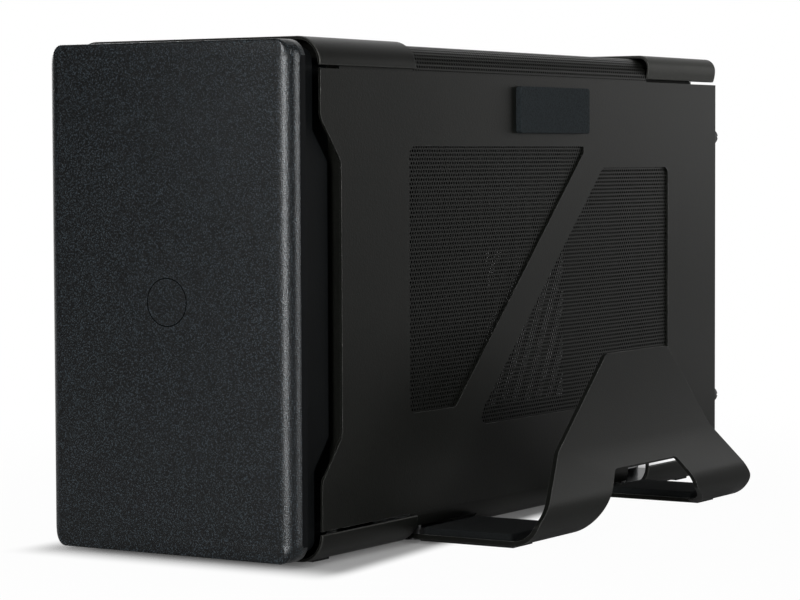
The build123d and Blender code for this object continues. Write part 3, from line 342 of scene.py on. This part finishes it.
finishes = {
    "black_steel": powderCoat("blackSteel"),
    # painted shade: the mesh coat is a tenth darker than the case's coat
    "mesh_steel": powderCoat("meshSteel", shade=0.9),
    "roll_steel": powderCoat("rollPaintedLight", rollPaintedLightLook),
    "seam_black": powderCoat("seamPaintedShade", seamShadeLook, shade=0.25),
    "cap_plastic": leatherGrain("capPlastic"),
    # painted shade: a darker copy of the cap plastic that barely reflects, for the cap's sideways flanks
    "cap_flank": moulded("capFlankShade", (0.0020, 0.0024, 0.0028), grain=0.8, rough=0.6, level=0.06),
    "frame_plastic": moulded("framePlastic", (0.0018, 0.0023, 0.0026), grain=0.9, rough=0.5, level=0.07),
    "pad_foam": foam("padFoam", (0.0086, 0.0108, 0.0120)),
    "stand_foam": foam("standFoam", (0.0040, 0.0046, 0.0048)),
    "foot_rubber": moulded("footRubber", (0.010, 0.010, 0.010), grain=0.6, rough=0.8, level=0.2),
    "zinc_steel": metal("zincSteel", (0.62, 0.63, 0.64), rough=0.38, brush=(1, 0.25, 1)),
    "black_screw": metal("blackScrew", (0.060, 0.060, 0.062), rough=0.42),
    "bright_screw": metal("brightScrew", (0.60, 0.60, 0.61), rough=0.30),
    "fan_plastic": moulded("fanPlastic", (0.012, 0.012, 0.013), grain=0.7, rough=0.42, level=0.4),
    "green_board": circuitBoard("greenBoard", (0.010, 0.055, 0.028), track=(0.022, 0.105, 0.050)),
    "black_board": circuitBoard("blackBoard", (0.010, 0.011, 0.012), track=(0.030, 0.032, 0.034)),
    "card_black": cardPlate("cardBlack", (0.012, 0.012, 0.013)),
    "fin_aluminium": metal("finAluminium", (0.66, 0.67, 0.68), rough=0.34, brush=(0.2, 1, 0.2)),
    "bracket_nickel": metal("bracketNickel", (0.64, 0.63, 0.61), rough=0.28, brush=(1, 1, 0.2)),
    "connector_plastic": moulded("connectorPlastic", (0.014, 0.014, 0.015), grain=0.5, rough=0.46, level=0.4),
    "supply_steel": metal("supplySteel", (0.48, 0.49, 0.50), rough=0.42, brush=(1, 0.2, 1)),
    "grille_wire": metal("grilleWire", (0.55, 0.55, 0.56), rough=0.26),
    "inlet_plastic": moulded("inletPlastic", (0.014, 0.014, 0.015), grain=0.6, rough=0.4, level=0.45),
    "lead_sleeve": moulded("leadSleeve", (0.012, 0.012, 0.012), grain=0.9, rough=0.6, level=0.3, depth=0.2),
}
slotOf = {name: part.data.materials[0].name.split(".")[0] for name, part in nodes.items()}
finishOf = dict(slotOf)  # a few nodes look different from their slot
finishOf["front_bulkhead"] = "black_steel"  # coated like the case
finishOf["left_top_rail"] = finishOf["right_top_rail"] = "seam_black"  # painted shade: the rails inside the seam under the top bands are coated near black
finishOf["top_rear_band"] = "roll_steel"  # painted light: a lighter copy of the coat on the rolled rear band
finishOf["front_stand_pad"] = finishOf["rear_stand_pad"] = "stand_foam"
for name, part in nodes.items():
    part.material_slots[0].material = finishes[finishOf[name]]
# painted highlights for the eased edges: bright on the panels and the stand, fainter on the bands
edgeHighlight = {"panel": powderCoat("panelEdgeHighlight", edgeHighlightLook), "band": powderCoat("dullEdge", dullEdge)}
print("finishes:", len(finishes) + len(edgeHighlight))


# New pieces
def boxOf(node):  # a node's lowest and highest corners in millimetres
    return [np.array(corner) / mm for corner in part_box(node)]


def addPiece(name, points, faces, node, slot=None):
    mesh = bpy.data.meshes.new(name)
    mesh.from_pydata(np.asarray(points, float).reshape(-1, 3), [], faces)
    return settle(name, mesh, node, slot)


def settle(name, mesh, node, slot=None):  # a piece that stands where a node is, and rides with it
    piece = bpy.data.objects.new(name, mesh)
    scene.collection.objects.link(piece)
    mesh.materials.clear()
    mesh.materials.append(finishes[slot or finishOf[node]])
    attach(piece, nodes[node]["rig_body"])
    slot or slotOf[node]
    return piece


def smoothShade(mesh, angle=32):
    mesh.polygons.foreach_set("use_smooth", np.ones(len(mesh.polygons), bool))
    mesh.set_sharp_from_angle(angle=math.radians(angle))


def ringQuads(loops, count, closed=False):  # quads between each loop of count points and the next one
    first = np.arange(loops if closed else loops - 1)[:, None] * count
    after = (first + count) % (loops * count)
    here = np.arange(count)[None, :]
    there = (here + 1) % count
    return np.stack([first + here, first + there, after + there, after + here], -1).reshape(-1, 4).tolist()


# Sheet pieces: the node's own shape with its cut edges eased
easing = {
    "right_side_panel": 0.47,
    "left_side_panel": 0.47,
    "top_front_band": 0.50,
    "top_rear_band": 0.50,
    "bottom_front_band": 0.50,
    "bottom_rear_band": 0.50,
    "laptop_stand": 0.55,
    "front_frame": 0.30,
}
edgeRules = dict(join=0.002, flat=0.4, corner=35, segments=2)  # flat and corner in degrees


def easeEdges(node, width):
    mesh = nodes[node].data.copy()
    mesh.name = node + "_eased"
    work = bmesh.new()
    work.from_mesh(mesh)
    bmesh.ops.remove_doubles(work, verts=work.verts, dist=edgeRules["join"] * mm)
    flat = math.radians(edgeRules["flat"])
    bmesh.ops.dissolve_limit(work, angle_limit=flat, verts=work.verts, edges=work.edges)
    work.to_mesh(mesh)
    work.free()
    if "custom_normal" in mesh.attributes:  # stored normals no longer fit the merged mesh
        mesh.attributes.remove(mesh.attributes["custom_normal"])
    mesh.polygons.foreach_set("use_smooth", np.ones(len(mesh.polygons), bool))
    piece = settle(node + "_sheet", mesh, node)
    # the bevels of coated sheets get a painted highlight coat
    if slotOf[node] == "black_steel":
        mesh.materials.append(edgeHighlight["band" if node.endswith("band") else "panel"])
    bevel = piece.modifiers.new("edge", "BEVEL")
    bevel.width = width * mm
    bevel.segments = edgeRules["segments"]
    bevel.material = len(mesh.materials) - 1
    bevel.limit_method = "ANGLE"
    bevel.angle_limit = math.radians(edgeRules["corner"])
    weigh = piece.modifiers.new("flat", "WEIGHTED_NORMAL")
    weigh.weight = 100
    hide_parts(node)


for node, width in easing.items():
    easeEdges(node, width)
print("eased sheets:", len(easing))


# Outline of a rounded rectangle, anticlockwise from its right side, with the outward direction at each point
def roundedOutline(halfWide, halfHigh, corner, steps):
    turn = np.linspace(0, np.pi / 2, steps + 1)
    angles = np.concatenate([quarter * np.pi / 2 + turn for quarter in range(4)])
    signX = np.repeat([1, -1, -1, 1], steps + 1)
    signZ = np.repeat([1, 1, -1, -1], steps + 1)
    normal = np.stack([np.cos(angles), np.sin(angles)], -1)
    centre = np.stack([signX * (halfWide - corner), signZ * (halfHigh - corner)], -1)
    return centre + corner * normal, normal


# Bend at a corner: the arc that touches the runs to both sides, its points evenly spread by angle
def arcPoints(start, corner, end, radius, steps=8):
    start, corner, end = (np.array(p, float) for p in (start, corner, end))
    before = (start - corner) / np.linalg.norm(start - corner)
    after = (end - corner) / np.linalg.norm(end - corner)
    half = np.arccos(np.clip(before @ after, -1, 1)) / 2
    middle = (before + after) / np.linalg.norm(before + after)
    centre = corner + middle * radius / np.sin(half)
    first = corner + before * radius / np.tan(half) - centre
    last = corner + after * radius / np.tan(half) - centre
    share = np.linspace(0, 1, steps + 1)[:, None]
    sweep = np.arccos(np.clip(first @ last / radius**2, -1, 1))
    return centre + (np.sin((1 - share) * sweep) * first + np.sin(share * sweep) * last) / np.sin(sweep)


# Front cap: a profile of (inset, depth) carried round the rounded outline. On the upright sides it has the
# wide bevel with two soft bends, on the top and bottom a small round, and the corners pass from one to the
# other. The flanks are the faces that look sideways within about ten degrees.
cap = dict(
    corner=8.0,
    bevel=4.3,
    reach=2.4,
    bend=7.6,
    sideBend=6.8,
    edge=0.9,
    straight=(0.6, 0.3),
    wall=2.0,
    rim=1.0,
    floorInset=3.0,
    blend=1.5,
    steps=18,
    flank=0.985,
)


def makeCap():
    low, high = boxOf("front_cap")
    middle = (low + high) / 2
    halfWide, depth, halfHigh = (high[0] - low[0]) / 2, high[1] - low[1], (high[2] - low[2]) / 2
    outline, normal = roundedOutline(halfWide, halfHigh, cap["corner"], cap["steps"])
    bevel, inner = cap["bevel"], cap["reach"] * cap["bevel"]
    start = [(0, depth)]
    sideBend = arcPoints((0, depth), (0, bevel), (bevel, 0), cap["sideBend"])
    faceBend = arcPoints((0, bevel), (bevel, 0), (inner, 0), cap["bend"])
    side = np.concatenate([start, sideBend, faceBend])
    upper, lower = cap["straight"]
    straight = np.linspace((0, depth * upper), (0, depth * lower), len(sideBend))
    edge = np.concatenate([start, straight, arcPoints((0, depth), (0, 0), (inner, 0), cap["edge"])])
    share = (np.abs(normal[:, 0]) ** cap["blend"])[:, None, None]
    profile = share * side + (1 - share) * edge  # one profile for each point of the outline
    wall = cap["wall"]
    hollow = np.array([(wall, depth), (wall, depth - cap["rim"]), (wall + cap["floorInset"], wall)])
    hollow = np.broadcast_to(hollow, (len(outline), 3, 2))
    profile = np.concatenate([hollow[:, ::-1], profile], 1)  # from the hollow's floor round to the face
    inset, depths = profile[..., 0].T, profile[..., 1].T
    flat = outline[None] - inset[..., None] * normal[None]
    points = np.stack([middle[0] + flat[..., 0], low[1] + depths, middle[2] + flat[..., 1]], -1) * mm
    loops, count = points.shape[:2]
    faces = ringQuads(loops, count)
    faces.append(list(range(count))[::-1])
    faces.append([(loops - 1) * count + i for i in range(count)])
    piece = addPiece("front_cap_shell", points, faces, "front_cap")
    mesh = piece.data
    smoothShade(mesh)
    mesh.materials.append(finishes["cap_flank"])  # painted shade: the flanks behind the bends get a darker plastic that barely reflects
    facing = np.empty(3 * len(mesh.polygons))
    mesh.polygons.foreach_get("normal", facing)
    flanks = np.abs(facing[0::3]) > cap["flank"]
    mesh.polygons.foreach_set("material_index", flanks.astype(np.int32))
    mesh.update()
    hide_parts("front_cap")


makeCap()

# Thin plain ring on the cap: a small section turned round, a hair proud of the face
mark = dict(radius=10.0, width=0.42, proud=0.015, sunk=0.3, steps=96, height=-1.2)


def makeMark():
    low, high = boxOf("front_cap")
    middle = (low + high) / 2
    turn = np.linspace(0, 2 * np.pi, mark["steps"], endpoint=False)
    half = mark["width"] / 2
    proud, sunk = mark["proud"], mark["sunk"]
    section = [(-half, sunk), (-half, -proud), (half, -proud), (half, sunk)]
    rings = [
        np.stack(
            [
                middle[0] + (mark["radius"] + out) * np.cos(turn),
                np.full(len(turn), low[1] + deep),
                middle[2] + mark["height"] + (mark["radius"] + out) * np.sin(turn),
            ],
            -1,
        )
        for out, deep in section
    ]
    quads = ringQuads(4, len(turn), True)
    addPiece("front_ring", np.array(rings) * mm, quads, "front_cap", "frame_plastic")


makeMark()
print("front cap done")


# Perforated sheets: rows of cells a pitch apart, every other row moved on by half a pitch
def staggered(lowU, highU, lowV, highV, pitch):
    rise = pitch * math.sqrt(0.75)  # from one row to the next
    rows = np.arange(int((highV - lowV) / rise) + 1)
    columns = np.arange(int((highU - lowU) / pitch) + 2)
    u = lowU + columns[None, :] * pitch + 0.5 * pitch * (rows[:, None] % 2)
    v = np.broadcast_to(lowV + rows[:, None] * rise, u.shape)
    return np.stack([u.ravel(), v.ravel()], -1)


# Each cell is six-sided: a ring on the front, the wall of its hole and a ring on the back. Neighbours share
# their corners, the outermost edges get walls, and place() turns (u, v, depth) into points.
def perforate(spots, pitch, hole, thick, place):
    turn = np.arange(6) * np.pi / 3 + np.pi / 6
    circle = np.stack([np.cos(turn), np.sin(turn)], -1)
    outer = spots[:, None] + circle * pitch / math.sqrt(3)
    inner = spots[:, None] + circle * hole / 2
    flat = np.stack([outer, inner, inner, outer], 1)
    deep = np.broadcast_to(np.array([0, 0, thick, thick])[None, :, None, None], flat.shape[:3] + (1,))
    cells = np.concatenate([flat, deep], -1).reshape(-1, 3)
    keys, same = np.unique(np.round(cells, 3), axis=0, return_inverse=True)
    index = same.reshape(len(spots), 4, 6)
    after = np.roll(index, -1, 2)
    quads = np.stack([index[:, :3], after[:, :3], after[:, 1:], index[:, 1:]], -1).reshape(-1, 4)
    edges = np.stack([index[:, 0], after[:, 0]], -1).reshape(-1, 2)
    backs = np.stack([index[:, 3], after[:, 3]], -1).reshape(-1, 2)
    _, which, times = np.unique(np.sort(edges, 1), axis=0, return_inverse=True, return_counts=True)
    rim = times[which.ravel()] == 1
    walls = np.stack([edges[rim, 0], backs[rim, 0], backs[rim, 1], edges[rim, 1]], -1)
    return place(keys[:, 0], keys[:, 1], keys[:, 2]), np.concatenate([quads, walls]).tolist()


def shifted(corners, margin):  # an anticlockwise convex outline moved outwards by a margin
    corners = np.array(corners, float)
    along = np.roll(corners, -1, 0) - corners
    along /= np.linalg.norm(along, axis=1)[:, None]
    normal = np.stack([along[:, 1], -along[:, 0]], -1)
    before, here = np.roll(normal, 1, 0), normal
    return corners + margin * (before + here) / (1 + np.sum(before * here, 1))[:, None]


def insideOf(spots, corners, margin):  # which spots lie further than a margin inside such an outline
    corners = np.array(corners, float)
    along = np.roll(corners, -1, 0) - corners
    along /= np.linalg.norm(along, axis=1)[:, None]
    offset = spots[:, None] - corners[None]
    depth = along[None, :, 0] * offset[..., 1] - along[None, :, 1] * offset[..., 0]
    return np.all(depth > margin, 1)


# Window meshes: the cells inside a window's outline, with a plain border hidden behind the panel
windowMesh = dict(
    margin=4.0,
    overlap=0.6,
    border=0.35,
    pitch=2.05,
    farPitch=2.5,
    hole=0.70,
    thick=0.5,
    skin=0.03,
    barFoot=38.2,
    barEnd=2.8,
)


def windowCorners(place, low, high):  # the window's corners in (y, z), found from the plate behind it
    margin = windowMesh["margin"]
    y0, z0 = low[1] + margin, low[2] + margin
    y1, z1 = high[1] - margin, high[2] - margin
    if place == "front":
        foot, end = y0 + windowMesh["barFoot"], z1 - windowMesh["barEnd"]
        return [(y0, z0), (foot, z0), (y1, end), (y1, z1), (y0, z1)]
    front = windowCorners("front", *boxOf("right_front_mesh"))
    slope = (front[2][0] - front[1][0]) / (front[2][1] - front[1][1])
    return [(y0, z0), (y1, z0), (y1, z1), (y0 + (z1 - z0) * slope, z1)]


def makeWindowMesh(side, place):
    node = f"{side}_{place}_mesh"
    low, high = boxOf(node)
    corners = windowCorners(place, low, high)
    sign = 1 if side == "right" else -1
    face = high[0] if side == "right" else low[0]
    pitch = windowMesh["pitch"] if side == "right" else windowMesh["farPitch"]
    spots = staggered(low[1], high[1], low[2], high[2], pitch)
    spots = spots[insideOf(spots, corners, -windowMesh["overlap"])]
    if side == "left":
        spots = spots * (-1, 1)

    def onPanel(u, v, depth):
        return np.stack([face - sign * depth, sign * u, v], -1) * mm

    points, faces = perforate(spots, pitch, windowMesh["hole"] * pitch, windowMesh["thick"], onPanel)
    inner = shifted(corners, windowMesh["border"])
    outer = shifted(corners, windowMesh["margin"])
    near, far = windowMesh["skin"], windowMesh["thick"] - windowMesh["skin"]
    loops = [(outer, near), (outer, far), (inner, far), (inner, near)]
    border = [onPanel(sign * loop[:, 0], loop[:, 1], np.full(len(loop), deep)) for loop, deep in loops]
    quads = ringQuads(4, len(corners), True)
    start = len(points)
    faces += [[start + i for i in (quad if side == "right" else quad[::-1])] for quad in quads]
    piece = addPiece(node + "_sheet", np.concatenate([points, *border]), faces, node)
    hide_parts(node)
    print(" ", node, len(spots), "holes")


for side in ("right", "left"):
    for place in ("front", "rear"):
        makeWindowMesh(side, place)

# Top mesh: the same cells laid along the folded section, which goes up one side, over the top and down again.
# It is made in two halves, with plain stretches under the bands and along the lips
topMesh = dict(
    corner=9.9,
    pitch=2.05,
    hole=0.70,
    thick=0.5,
    skin=0.02,
    lap=1.2,
    lip=1.9,
    join=0.3,
    rearGap=0.1,
    rearDrop=4.0,
    steps=90,
)


def makeTopMesh():
    low, high = boxOf("top_mesh")
    corner, thick = topMesh["corner"], topMesh["thick"]
    lip = high[2] - corner - low[2]
    bend = corner * np.pi / 2
    flat = high[0] - low[0] - 2 * corner
    ends = np.cumsum([0, lip, bend, flat, bend, lip])

    def onFold(back, u, depth):  # u runs along the section, back from the rear to the front
        turn = np.clip((u - ends[1]) / corner, 0, np.pi / 2) + np.clip((u - ends[3]) / corner, 0, np.pi / 2)
        normal = np.stack([-np.cos(turn), np.sin(turn)], -1)
        over = np.clip(u - ends[2], 0, flat)
        rise = np.minimum(u, lip) - np.maximum(u - ends[4], 0)
        x = low[0] + corner + over + (corner - depth) * normal[:, 0]
        z = low[2] + rise + (corner - depth) * normal[:, 1]
        return np.stack([x, -back, z], -1) * mm

    def plate(u0, u1, y0, y1):  # a plain stretch: its section there and back, carried from y0 to y1
        steps = topMesh["steps"]
        along = np.linspace(u0, u1, steps)
        section = np.concatenate([along, along[::-1]])
        deep = np.repeat([topMesh["skin"], thick - topMesh["skin"]], steps)
        rims = [onFold(np.full(2 * steps, -y), section, deep) for y in (y0, y1)]
        faces = [quad[::-1] for quad in ringQuads(2, 2 * steps)]
        near = np.arange(steps - 1)
        closing = np.stack([near, near + 1, 2 * steps - 2 - near, 2 * steps - 1 - near], -1)
        return np.concatenate(rims), faces + closing[:, ::-1].tolist() + (closing + 2 * steps).tolist()

    frontEnd = boxOf("top_front_band")[1][1] - topMesh["lap"]
    rearStart = boxOf("top_rear_band")[0][1] - topMesh["rearGap"]
    pitch, plainLip, middle = topMesh["pitch"], topMesh["lip"], ends[-1] / 2
    spots = staggered(pitch / 2 - rearStart, -frontEnd, plainLip + pitch / 2, ends[-1] - plainLip, pitch)
    spots = spots[spots[:, 0] < -frontEnd]
    tuck = lip + corner * math.asin(1 - topMesh["rearDrop"] / corner)
    whole, strip = ends[-1], plainLip + topMesh["join"]
    plates = {
        "left": [(0, strip, frontEnd, rearStart), (0, whole, low[1], frontEnd)],
        "right": [(whole - strip, whole, frontEnd, rearStart), (tuck, whole - tuck, rearStart, high[1])],
    }
    for side, kept in (("left", spots[:, 1] < middle), ("right", spots[:, 1] >= middle)):
        points, faces = perforate(spots[kept], pitch, topMesh["hole"] * pitch, thick, onFold)
        points = [points]
        for stretch in plates[side]:
            start = sum(len(group) for group in points)
            more, quads = plate(*stretch)
            points.append(more)
            faces += (np.array(quads) + start).tolist()
        piece = addPiece(f"top_mesh_{side}", np.concatenate(points), faces, "top_mesh")
        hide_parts("top_mesh")
        print("  top_mesh", side, int(kept.sum()), "holes")


makeTopMesh()
print("perforated sheets done")

# Foam pads: an outline rounded at its corners, rising up the side, over a soft edge to a crowned face
pads = {
    "side_pad": dict(axis=0, corner=1.6, edge=0.5, crown=0.12),
    "front_stand_pad": dict(axis=2, corner=2.0, edge=0.7, crown=0.2),
    "rear_stand_pad": dict(axis=2, corner=2.0, edge=0.7, crown=0.2),
}
padRise = dict(
    edgeSteps=6,
    cornerSteps=5,
    crownShares=(0.15, 0.35, 0.6, 1.0),
    reach=0.8,
    least=0.15,
    crease=50,
)


def makePad(node, look):
    low, high = boxOf(node)
    up = look["axis"]
    across = [(up + 1) % 3, (up + 2) % 3]
    half = (high - low)[across] / 2
    tall = (high - low)[up]
    turn = np.linspace(0, np.pi / 2, padRise["edgeSteps"])
    edge, crown = look["edge"], look["crown"]
    levels = [(0.0, 0.0)]
    levels += [(edge * (1 - math.cos(t)), tall - crown - edge * (1 - math.sin(t))) for t in turn]
    reach = half.min() * padRise["reach"]
    levels += [(edge + s * reach, tall - crown * (1 - s) ** 2) for s in padRise["crownShares"]]
    loops = []
    for inset, height in levels:
        corner = max(look["corner"] - inset, padRise["least"])
        outline, _ = roundedOutline(half[0] - inset, half[1] - inset, corner, padRise["cornerSteps"])
        loop = np.zeros((len(outline), 3))
        loop[:, across] = outline + ((low + high) / 2)[across]
        loop[:, up] = low[up] + height
        loops.append(loop)
    count = len(loops[0])
    faces = ringQuads(len(loops), count)
    faces.append(list(range(count))[::-1])
    faces.append([(len(loops) - 1) * count + i for i in range(count)])
    piece = addPiece(node + "_foam", np.array(loops) * mm, faces, node)
    smoothShade(piece.data, padRise["crease"])
    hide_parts(node)


for node, look in pads.items():
    makePad(node, look)

# Thumbscrew knurls: a fluted band round each head, its radius waving with the angle
knurl = dict(
    inset=0.08,
    wave=0.16,
    flutes=22,
    perFlute=6,
    lead=0.7,
    trail=0.7,
    inner=2.4,
    chamfer=(0.2, 0.25),
)


def makeKnurl(side):
    node = f"{side}_panel_screws"
    low, high = boxOf(node)
    radius = (high[0] - low[0]) / 2
    middle = (low[0] + high[0]) / 2
    headStart = boxOf("right_side_panel")[1][1]
    turn = np.linspace(0, 2 * np.pi, knurl["flutes"] * knurl["perFlute"], endpoint=False)
    wave = radius - knurl["inset"] + knurl["wave"] * (0.5 + 0.5 * np.cos(knurl["flutes"] * turn))
    plain = np.full(len(turn), knurl["inner"])
    y0, y1 = headStart + knurl["lead"], high[1] - knurl["trail"]
    cut, run = knurl["chamfer"]
    rings = [(plain, y0), (wave - cut, y0), (wave, y0 + run), (wave, y1 - run), (wave - cut, y1), (plain, y1)]
    for name, z in (("low", low[2] + radius), ("high", high[2] - radius)):
        loops = [
            np.stack([middle + r * np.cos(turn), np.full(len(turn), y), z + r * np.sin(turn)], -1)
            for r, y in rings
        ]
        quads = [quad[::-1] for quad in ringQuads(len(rings), len(turn), True)]
        addPiece(f"{side}_knurl_{name}", np.array(loops) * mm, quads, node)


for side in ("right", "left"):
    makeKnurl(side)
print("pads and knurls done")

# Floor, in metres: white to the camera and to reflections, with the object's soft shadow kept near it
stageLook = dict(
    radius=1.1,
    steps=96,
    colour=(0.45, 0.45, 0.45),
    keep=0.975,
    fade=(0.15, 0.6),
    mirror=(0.2, 0.8),
    mirrorLean=0.6,
    under=0.92,
    underFront=(-0.215, -0.18),
    underRear=(0.20, 0.26),
    underLeft=(-0.115, -0.09),
    underRight=(0.026, 0.040),
    underLean=0.1,
)


def makeStage():
    turn = np.linspace(0, 2 * np.pi, stageLook["steps"], endpoint=False)
    disc = stageLook["radius"] * np.stack([np.cos(turn), np.sin(turn), np.zeros(len(turn))], -1)
    mesh = bpy.data.meshes.new("floor")
    mesh.from_pydata(disc, [], [list(range(len(turn)))])
    floor = bpy.data.objects.new("floor", mesh)
    scene.collection.objects.link(floor)
    paint = newFinish("paleFloor")
    x, y = paint.axes()[:2]
    spot = {0: paint.place()}
    distance = paint.node("ShaderNodeVectorMath", {"operation": "LENGTH"}, spot, out="Value")
    fade = distance.between(*stageLook["fade"])
    path = paint.node("ShaderNodeLightPath", out="Is Camera Ray")
    ways = path.socket.node.outputs
    behind = (y - x * stageLook["mirrorLean"]).between(*stageLook["mirror"])
    mirror = Tone(paint, ways["Is Glossy Ray"]) * behind  # only behind the object
    seen = path.largest(Tone(paint, ways["Is Transmission Ray"])).largest(mirror)
    white = paint.node("ShaderNodeEmission", sockets={"Color": (1, 1, 1, 1), "Strength": 1.0})
    matt = paint.node("ShaderNodeBsdfDiffuse", sockets={"Color": (*stageLook["colour"], 1)})
    lengthwise = y.between(*stageLook["underFront"]) * (1 - y.between(*stageLook["underRear"]))
    slanted = x + y * stageLook["underLean"]
    crosswise = x.between(*stageLook["underLeft"]) * (1 - slanted.between(*stageLook["underRight"]))
    lit = 1 - lengthwise * crosswise * stageLook["under"]  # painted shadow box right under the case: there the white gives way to the matt floor and its real shade
    share = seen * (stageLook["keep"] + fade * (1 - stageLook["keep"])) * lit
    both = paint.node("ShaderNodeMixShader", sockets={0: share, 1: matt, 2: white})
    paint.node("ShaderNodeOutputMaterial", sockets={"Surface": both})
    mesh.materials.append(paint.owner)


makeStage()

# Room: white behind the object for reflections, dim in front of it, and an even light on matt surfaces
sky = dict(ambient=0.22, dim=0.085, away=(-0.53, 0.85, 0.0), low=0.5, high=0.9)


def makeWorld():
    world = bpy.data.worlds.new("studio")
    scene.world = world
    paint = Finish(world)
    path = paint.node("ShaderNodeLightPath", out="Is Camera Ray")
    ways = path.socket.node.outputs
    mirror = Tone(paint, ways["Is Glossy Ray"]).largest(Tone(paint, ways["Is Transmission Ray"]))
    way = paint.node("ShaderNodeTexCoord", out="Generated")
    sockets = {0: way, 1: sky["away"]}
    facing = paint.node("ShaderNodeVectorMath", {"operation": "DOT_PRODUCT"}, sockets, out="Value")
    behind = facing.between(sky["low"], sky["high"])
    backdrop = sky["dim"] + behind * (1 - sky["dim"])  # white behind the object, a dimmer room in front of it
    level = path + (1 - path) * (mirror * backdrop + (1 - mirror) * sky["ambient"])
    light = paint.node("ShaderNodeBackground", sockets={"Color": (1, 1, 1, 1), "Strength": level})
    paint.node("ShaderNodeOutputWorld", sockets={"Surface": light})


makeWorld()

# Soft lamps, all turned to the middle of the object
lamps = {
    "frontStrip": dict(place=(0.42, -1.75, 0.45), size=(0.38, 1.0), watts=26.0),
    "frontLeft": dict(place=(-0.62, -2.0, 0.60), size=(0.4, 0.6), watts=3.5),
    "rightBox": dict(place=(1.75, 0.10, 0.50), size=(0.44, 1.0), watts=16.0),
    "rearBox": dict(place=(0.66, 1.75, 0.385), size=(0.9, 0.59), watts=1.68),
    "topBox": dict(place=(0.10, 0.25, 1.7), size=(1.0, 1.0), watts=3.6),
    "backLeft": dict(place=(-1.7, 0.9, 0.8), size=(1.0, 1.0), watts=14.0),
}
aim = Vector((0.0, 0.0, 0.11))
for name, lamp in lamps.items():
    light = bpy.data.lights.new(name, "AREA")
    light.shape = "RECTANGLE"
    light.size, light.size_y = lamp["size"]
    light.energy = lamp["watts"]
    box = bpy.data.objects.new(name, light)
    box.location = lamp["place"]
    box.rotation_euler = (aim - box.location).to_track_quat("-Z", "Y").to_euler()
    box.visible_camera = False
    scene.collection.objects.link(box)

# Camera: the place, turn and lens found from the photograph, with the focal length in its pixels
shot = dict(
    place=(0.66865, -1.1381, 0.1692),
    yaw=31.85,
    pitch=2.95,
    roll=-0.23,
    focal=2812.0,
    pixels=800,
    sensor=36.0,
    far=100,
)


def makeCamera():
    yaw, pitch, roll = [math.radians(shot[key]) for key in ("yaw", "pitch", "roll")]
    ahead = Vector((-math.sin(yaw) * math.cos(pitch), math.cos(yaw) * math.cos(pitch), -math.sin(pitch)))
    right = Vector((math.cos(yaw), math.sin(yaw), 0))
    up = right.cross(ahead)
    rolledRight = right * math.cos(roll) + up * math.sin(roll)
    rolledUp = up * math.cos(roll) - right * math.sin(roll)
    data = bpy.data.cameras.new("shot")
    data.sensor_width = shot["sensor"]
    data.lens = shot["focal"] * shot["sensor"] / shot["pixels"]
    data.clip_end = shot["far"]
    camera = bpy.data.objects.new("shot", data)
    turn = Matrix((rolledRight, rolledUp, -ahead)).transposed().to_4x4()
    camera.matrix_world = Matrix.Translation(shot["place"]) @ turn
    scene.collection.objects.link(camera)
    scene.camera = camera


makeCamera()
print("stage, lamps and camera done")
